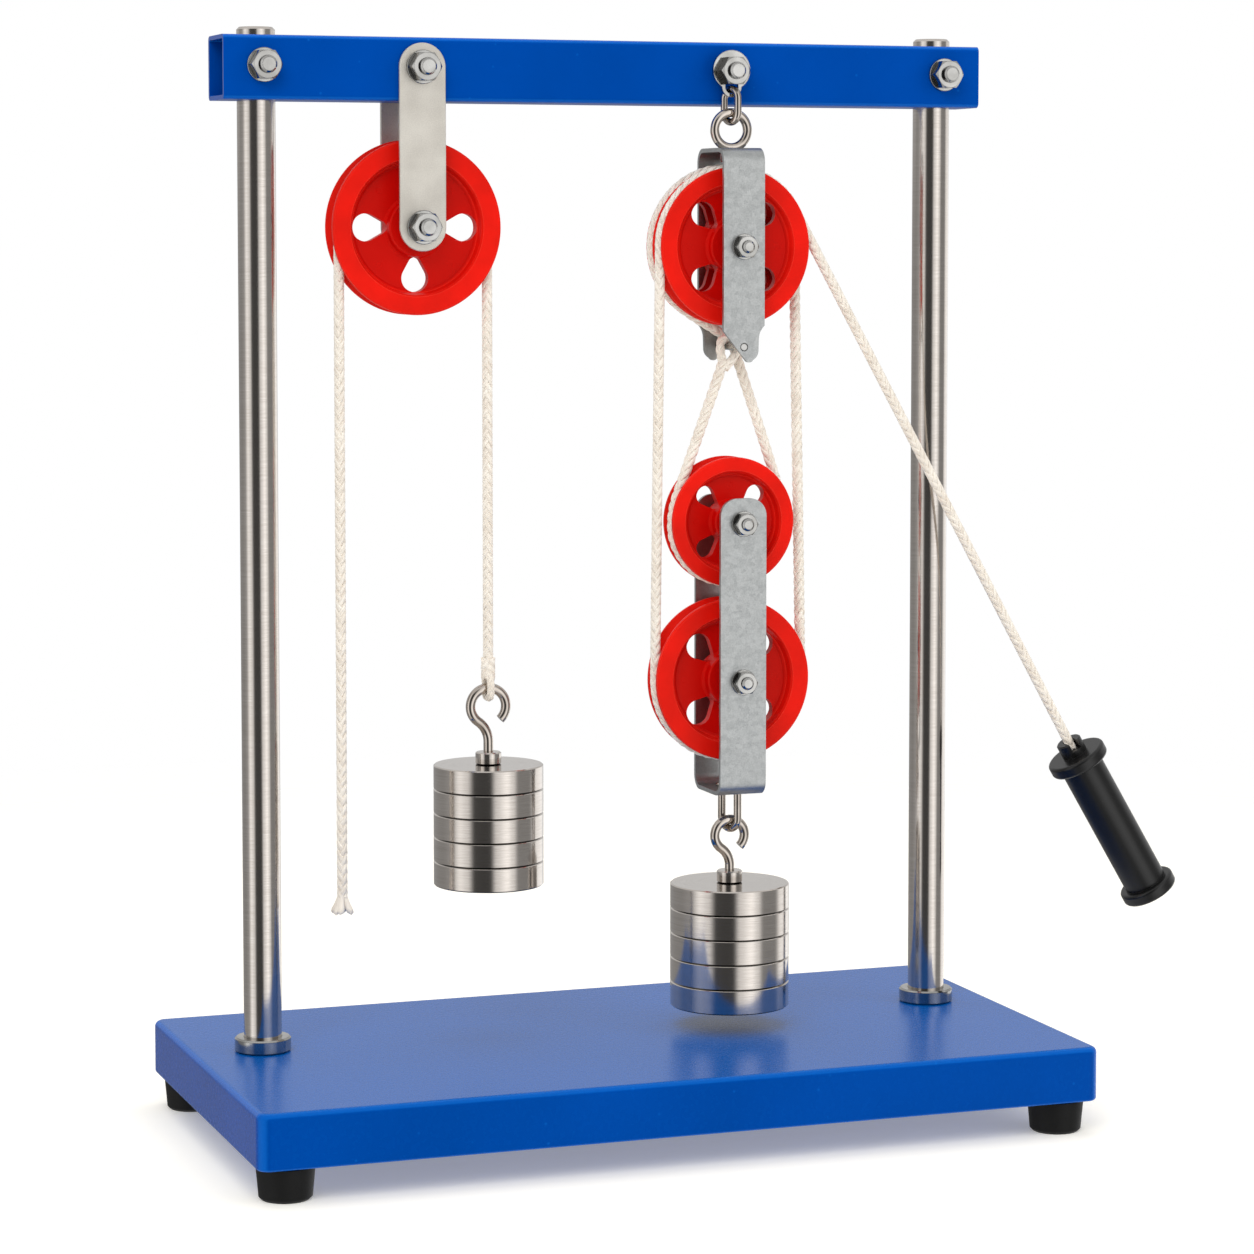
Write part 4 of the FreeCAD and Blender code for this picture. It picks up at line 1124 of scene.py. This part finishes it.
@dataclass(frozen=True)
class FrayedEnd:
    """The fanned-out end of the cord, its strands swollen into soft tufts."""

    name: str
    body: str
    centre: tuple[float, float]
    top: float
    bottom: float
    outer: float = 0.0045
    tufts: int = 7
    tuft_radius: float = 0.0023
    neck_radius: float = 0.0010
    rings: int = 9
    sides: int = 12
    tip_share: float = 0.28
    spread_power: float = 1.6

    def build(self, material: bpy.types.Material) -> bpy.types.Object:
        """Make the tufts.

        Args:
            material: the yarn's material.

        Returns:
            The tufts as one piece.
        """
        vertices: list[Point] = []
        faces: list[tuple[int, ...]] = []
        for number in range(self.tufts + 1):
            self._add_tuft(vertices, faces, number)
        mesh = bpy.data.meshes.new(self.name)
        mesh.from_pydata(vertices, [], faces)
        mesh.materials.append(material)
        mesh.shade_smooth()
        tuft = bpy.data.objects.new(self.name, mesh)
        bpy.context.scene.collection.objects.link(tuft)
        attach(tuft, self.body)
        return tuft

    def _add_tuft(self, vertices: list, faces: list, number: int) -> None:
        """Add one swollen strand; the last one fills the middle.

        Args:
            vertices: the mesh's points, added to here.
            faces: the mesh's faces, added to here.
            number: which strand it is.
        """
        angle = math.tau * (number + 0.35 * math.sin(2.3 * number)) / self.tufts
        reach = 0.0 if number == self.tufts else self.outer * (1.0 + 0.1 * math.sin(3.1 * number))
        drop = (self.top - self.bottom) * (1.0 - 0.10 * abs(math.sin(1.7 * number)))
        first = len(vertices)
        for ring in range(self.rings + 1):
            share = ring / self.rings
            past_tip = max(0.0, (share - (1.0 - self.tip_share)) / self.tip_share)
            bulge = math.sqrt(max(0.0, 1.0 - past_tip**2))
            swell = (self.tuft_radius - self.neck_radius) * math.sin(1.25 * share) ** 2
            radius = (self.neck_radius + swell) * bulge
            fan = (reach - self.neck_radius) * share**self.spread_power
            out = self.neck_radius + fan if reach else 0.0
            height = self.top - drop * share
            x = self.centre[0] + out * math.cos(angle)
            centre = Vector((x, self.centre[1] + out * math.sin(angle), height))
            for side in range(self.sides):
                turn = math.tau * side / self.sides
                rim = Vector((radius * math.cos(turn), radius * math.sin(turn), 0.0))
                vertices.append(tuple(centre + rim))
        for ring in range(self.rings):
            for side in range(self.sides):
                low = first + ring * self.sides
                high = low + self.sides
                following = (side + 1) % self.sides
                faces.append((low + side, high + side, high + following, low + following))
        faces.append(tuple(first + side for side in range(self.sides)))
        last = first + self.rings * self.sides
        faces.append(tuple(last + side for side in reversed(range(self.sides))))


FREE_TUFT = FrayedEnd("frayed_end", "lift_cord_free_side", (FREE_X, LIFT_Y), top=0.1165, bottom=0.1042)

HOOK_EYE = CordEye(
    "cord_eye_on_hook",
    route=(
        (LIFT_X, LIFT_Y, 0.2190),
        (LIFT_X, LIFT_Y - 0.0022, 0.2170),
        (LIFT_X, LIFT_Y - 0.0044, 0.2135),
        (LIFT_X, LIFT_Y - 0.0044, 0.2060),
        (LIFT_X, LIFT_Y + 0.0044, 0.2060),
        (LIFT_X, LIFT_Y + 0.0044, 0.2135),
        (LIFT_X, LIFT_Y + 0.0022, 0.2170),
        (LIFT_X, LIFT_Y, 0.2190),
    ),
    body="lift_cord_load_side",
    nodes=("lift_cord_eye",),
    scale=0.74,
)
HOOK_SPLICE = CordEye(
    "cord_splice_on_hook",
    route=((LIFT_X, LIFT_Y, 0.2245), (LIFT_X, LIFT_Y, 0.2200), (LIFT_X, LIFT_Y, 0.2150)),
    body="lift_cord_load_side",
    scale=1.4,
)
BECKET_EYE = CordEye(
    "cord_eye_on_becket",
    route=(
        (0.0080, LOWER_Y, 0.3640),
        (0.0056, LOWER_Y, 0.3700),
        (0.0056, LOWER_Y, 0.3790),
        (0.0144, LOWER_Y, 0.3790),
        (0.0144, LOWER_Y, 0.3704),
        (0.0080, LOWER_Y, 0.3640),
    ),
    body="upper_block",
)

CORDS = (
    Cord(
        "lift_cord_free",
        route=(
            (LIFT_X, LIFT_Y, 0.4310),
            (LIFT_X, LIFT_Y, 0.44716),
            (-0.12784, LIFT_Y, 0.4686),
            (-0.15816, LIFT_Y, 0.4686),
            (FREE_X, LIFT_Y, 0.44716),
            (FREE_X, LIFT_Y, 0.4140),
            (FREE_X, LIFT_Y, 0.1130),
        ),
        nodes=("lift_cord_free_fall", "lift_cord_wrap"),
        bodies=("lift_cord_free_side", "stand"),
        stretch=((FREE_X, LIFT_Y, 0.135), (FREE_X, LIFT_Y, 0.425)),
        length=0.435,
        far_end="knot",
        lay="hanging",
        ends=("frayed_end",),
    ),
    Cord(
        "lift_cord_load",
        route=((LIFT_X, LIFT_Y, 0.4325), (LIFT_X, LIFT_Y, 0.4140), (LIFT_X, LIFT_Y, 0.2180)),
        nodes=("lift_cord_load_fall",),
        bodies=("lift_cord_load_side", "stand"),
        stretch=((LIFT_X, LIFT_Y, 0.240), (LIFT_X, LIFT_Y, 0.425)),
        length=0.2145,
        ends=("cord_eye_on_hook", "cord_splice_on_hook"),
    ),
    Cord(
        "tackle_cord_long",
        route=(
            (0.04224, FRONT_Y, 0.44096),
            (0.0361, FRONT_Y, 0.4519),
            (0.01291, FRONT_Y, 0.46179),
            (-0.01149, FRONT_Y, 0.45545),
            (-0.02698, FRONT_Y, 0.43554),
            (-0.02707, FRONT_Y, 0.4103),
            (-0.02773, LOWER_Y, 0.2310),
            (-0.02786, LOWER_Y, 0.19764),
            (-0.0057, LOWER_Y, 0.1754),
            (0.0257, LOWER_Y, 0.1754),
            (0.04786, LOWER_Y, 0.19764),
            (0.04773, LOWER_Y, 0.2310),
            (0.04707, REAR_Y, 0.4103),
            (0.04695, REAR_Y, 0.43644),
            (0.02949, REAR_Y, 0.45702),
            (0.00288, REAR_Y, 0.46154),
            (-0.02038, REAR_Y, 0.44786),
            (-0.02938, REAR_Y, 0.42241),
            (-0.01989, REAR_Y, 0.39715),
            (0.01408, REAR_Y, 0.37807),
            (0.01494, REAR_Y, 0.3752),
        ),
        nodes=("tackle_cord_front_wrap", "tackle_cord_large_bight", "tackle_cord_rear_wrap"),
        bodies=("lower_block", "upper_block"),
        stretch=((0.010, LOWER_Y, 0.215), (0.010, LOWER_Y, 0.372)),
        length=0.82,
        ends=("cord_eye_on_becket",),
    ),
    Cord(
        "tackle_cord_short",
        route=(
            (0.01498, REAR_Y, 0.37507),
            (0.0163, REAR_Y - 0.0002, 0.3707),
            (0.03317, LOWER_Y, 0.31451),
            (0.04141, LOWER_Y, 0.28707),
            (0.03096, LOWER_Y, 0.26624),
            (0.00905, LOWER_Y, 0.25828),
            (-0.01234, LOWER_Y, 0.26754),
            (-0.02152, LOWER_Y, 0.28896),
            (-0.0101, LOWER_Y, 0.3200),
            (0.00745, LOWER_Y, 0.36785),
        ),
        nodes=("tackle_cord_small_bight",),
        bodies=("lower_block", "upper_block"),
        stretch=((0.010, LOWER_Y, 0.300), (0.010, LOWER_Y, 0.365)),
        length=0.27,
    ),
    Cord(
        "tackle_cord_pull",
        route=(
            (0.04180, FRONT_Y, 0.44180),
            (0.04840, FRONT_Y, 0.42990),
            (0.19410, FRONT_Y, 0.17036),
        ),
        nodes=("tackle_cord_pull_fall",),
        bodies=("handle", "upper_block"),
        stretch=((0.1760, FRONT_Y, 0.2022), (0.0520, FRONT_Y, 0.4237)),
        length=0.311,
        far_end="fitting",
        ends=("pull_handle",),
    ),
)


def lay_cords(effects: Effects) -> None:
    """Make every cord, its eyes and its frayed end.

    Args:
        effects: the shared effect groups.
    """
    yarn = COTTON.build(effects)
    braid = Braid(yarn)
    pieces = {
        "pull_handle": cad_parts["pull_handle"],
        FREE_TUFT.name: FREE_TUFT.build(yarn),
        HOOK_EYE.name: HOOK_EYE.build(braid),
        HOOK_SPLICE.name: HOOK_SPLICE.build(braid),
        BECKET_EYE.name: BECKET_EYE.build(braid),
    }
    for cord in CORDS:
        cord.build(braid, pieces)


# ---------------------------------------------------------------- studio


@dataclass(frozen=True)
class Viewpoint:
    """The camera: where it stands, which way it looks and its lens."""

    place: Point = (-0.6437, -1.6873, 0.4312)
    azimuth: float = -19.612
    elevation: float = 4.3
    lens: float = 107.21
    sensor: float = 36.0
    shift_y: float = -0.0934

    def build(self) -> None:
        """Make the camera and look through it."""
        turn = math.radians(self.azimuth)
        rise = math.radians(self.elevation)
        back = Vector((math.sin(turn) * math.cos(rise), -math.cos(turn) * math.cos(rise), math.sin(rise)))
        data = bpy.data.cameras.new("camera")
        data.lens = self.lens
        data.sensor_width = self.sensor
        data.shift_y = self.shift_y
        data.clip_start = 0.05
        camera = bpy.data.objects.new("camera", data)
        camera.location = self.place
        camera.rotation_mode = "QUATERNION"
        camera.rotation_quaternion = (-back).to_track_quat("-Z", "Y")
        bpy.context.scene.collection.objects.link(camera)
        bpy.context.scene.camera = camera


@dataclass(frozen=True)
class SoftBox:
    """A soft rectangular lamp."""

    name: str
    place: Point
    aim: Point
    width: float
    height: float
    power: float

    def build(self) -> None:
        """Hang the lamp and aim it."""
        data = bpy.data.lights.new(self.name, "AREA")
        data.shape = "RECTANGLE"
        data.size = self.width
        data.size_y = self.height
        data.energy = self.power
        lamp = bpy.data.objects.new(self.name, data)
        lamp.location = self.place
        direction = Vector(self.aim) - Vector(self.place)
        lamp.rotation_mode = "QUATERNION"
        lamp.rotation_quaternion = direction.to_track_quat("-Z", "Y")
        lamp.visible_glossy = False
        lamp.visible_camera = False
        bpy.context.scene.collection.objects.link(lamp)


@dataclass(frozen=True)
class Floor:
    """A pale floor that fades into the white background."""

    radius: float = 1.5
    solid_to: float = 0.7
    clear_from: float = 1.3
    colour: Colour = (0.89, 0.86, 0.78)
    glow: float = 0.26
    sides: int = 96

    def build(self) -> None:
        """Make the floor and its material."""
        ring = [math.tau * side / self.sides for side in range(self.sides)]
        mesh = bpy.data.meshes.new("floor")
        rim = [(self.radius * math.cos(angle), self.radius * math.sin(angle), 0.0) for angle in ring]
        mesh.from_pydata(rim, [], [range(self.sides)])
        floor = bpy.data.objects.new("floor", mesh)
        material = bpy.data.materials.new("pale_floor")
        material.use_nodes = True
        tree = material.node_tree
        shader = tree.nodes["Principled BSDF"]
        surface = {
            "Base Color": (*self.colour, 1.0),
            "Roughness": 0.7,
            "Specular IOR Level": 0.0,
            "Emission Color": WHITE,
            "Emission Strength": self.glow,
        }
        set_inputs(tree, shader, surface)
        place = tree.nodes.new("ShaderNodeTexCoord").outputs["Object"]
        faded_out = ranged(tree, length_of(tree, place), self.solid_to, self.clear_from, smooth=True)
        mirrored = tree.nodes.new("ShaderNodeLightPath").outputs["Is Glossy Ray"]
        clear = math_node(tree, "MAXIMUM", faded_out, mirrored)
        glass = tree.nodes.new("ShaderNodeBsdfTransparent").outputs["BSDF"]
        painted_top_light_and_floor_fade = add_node(tree, "ShaderNodeMixShader", {0: clear, 1: shader.outputs["BSDF"], 2: glass})
        tree.links.new(painted_top_light_and_floor_fade.outputs["Shader"], tree.nodes["Material Output"].inputs["Surface"])
        mesh.materials.append(material)
        bpy.context.scene.collection.objects.link(floor)


@dataclass(frozen=True)
class Surroundings:
    """The studio round the object: white for the camera, bright and dark screens for reflections."""

    facing: float
    ambient: float = 0.62
    background: float = 1.0
    overhead: float = 0.85
    behind: float = 0.7
    screens: tuple[tuple[float, float], ...] = (
        (-180, 0.36),
        (-110, 0.34),
        (-84, 0.42),
        (-60, 1.35),
        (-44, 1.05),
        (-27, 0.08),
        (6, 0.07),
        (20, 1.05),
        (42, 1.6),
        (55, 1.1),
        (68, 0.32),
        (98, 0.32),
        (116, 1.3),
        (145, 1.4),
        (180, 0.36),
    )

    def build(self) -> None:
        """Make the world."""
        world = bpy.data.worlds.new("studio")
        bpy.context.scene.world = world
        world.use_nodes = True
        tree = world.node_tree
        direction = tree.nodes.new("ShaderNodeTexCoord").outputs["Generated"]
        quarter_turn = 90.0
        turned = {"Vector": direction, "Angle": math.radians(quarter_turn - self.facing)}
        facing = add_node(tree, "ShaderNodeVectorRotate", turned, rotation_type="Z_AXIS").outputs[0]
        angle = add_node(tree, "ShaderNodeTexGradient", {0: facing}, gradient_type="RADIAL").outputs["Fac"]
        bands = add_node(tree, "ShaderNodeValToRGB", {0: angle})
        ramp = bands.color_ramp
        ramp.interpolation = "EASE"
        brightest = max(level for _, level in self.screens)
        for number, (degrees, level) in enumerate(self.screens):
            position = degrees / 360 + 0.5
            stop = ramp.elements[number] if number < 2 else ramp.elements.new(position)
            stop.position = position
            stop.color = (level / brightest,) * 3 + (1.0,)
        level = math_node(tree, "MULTIPLY", bands.outputs["Color"], brightest)
        height = parts_of(tree, direction)["Z"]
        away = parts_of(tree, facing)["X"]
        past = math_node(tree, "MULTIPLY", ranged(tree, away, -0.2, -0.5), ranged(tree, height, 0.0, 0.08))
        level = add_node(tree, "ShaderNodeMix", {0: past, 2: level, 3: self.behind}).outputs[0]
        upward = ranged(tree, math_node(tree, "ABSOLUTE", height), 0.45, 0.85, smooth=True)
        mirrored = add_node(tree, "ShaderNodeMix", {0: upward, 2: level, 3: self.overhead}).outputs[0]
        light_path = tree.nodes.new("ShaderNodeLightPath").outputs
        by_gloss = {0: light_path["Is Glossy Ray"], 2: self.ambient, 3: mirrored}
        seen = add_node(tree, "ShaderNodeMix", by_gloss).outputs[0]
        by_camera = {0: light_path["Is Camera Ray"], 2: seen, 3: self.background}
        strength = add_node(tree, "ShaderNodeMix", by_camera).outputs[0]
        set_inputs(tree, tree.nodes["Background"], {"Strength": strength, "Color": WHITE})


def build_studio() -> None:
    """Make the floor, the surroundings, the lamps and the camera."""
    view = Viewpoint()
    view.build()
    Surroundings(facing=view.azimuth).build()
    Floor().build()
    aim = (-0.05, 0.0, 0.25)
    SoftBox("key", (-0.9, -1.3, 1.5), aim, 1.2, 1.2, 16.0).build()
    SoftBox("fill", (1.3, -1.0, 0.9), aim, 1.0, 1.4, 7.0).build()
    SoftBox("top", (0.0, 0.3, 1.9), aim, 1.6, 1.2, 12.0).build()
    bpy.context.scene.view_settings.view_transform = "Standard"


def main() -> None:
    """Dress the frame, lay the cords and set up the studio."""
    logging.basicConfig(level=logging.INFO, format="%(name)s: %(message)s")
    effects = Effects()
    dress_frame(effects)
    lay_cords(effects)
    build_studio()
    bpy.context.view_layer.update()


if __name__ == "__main__":
    main()
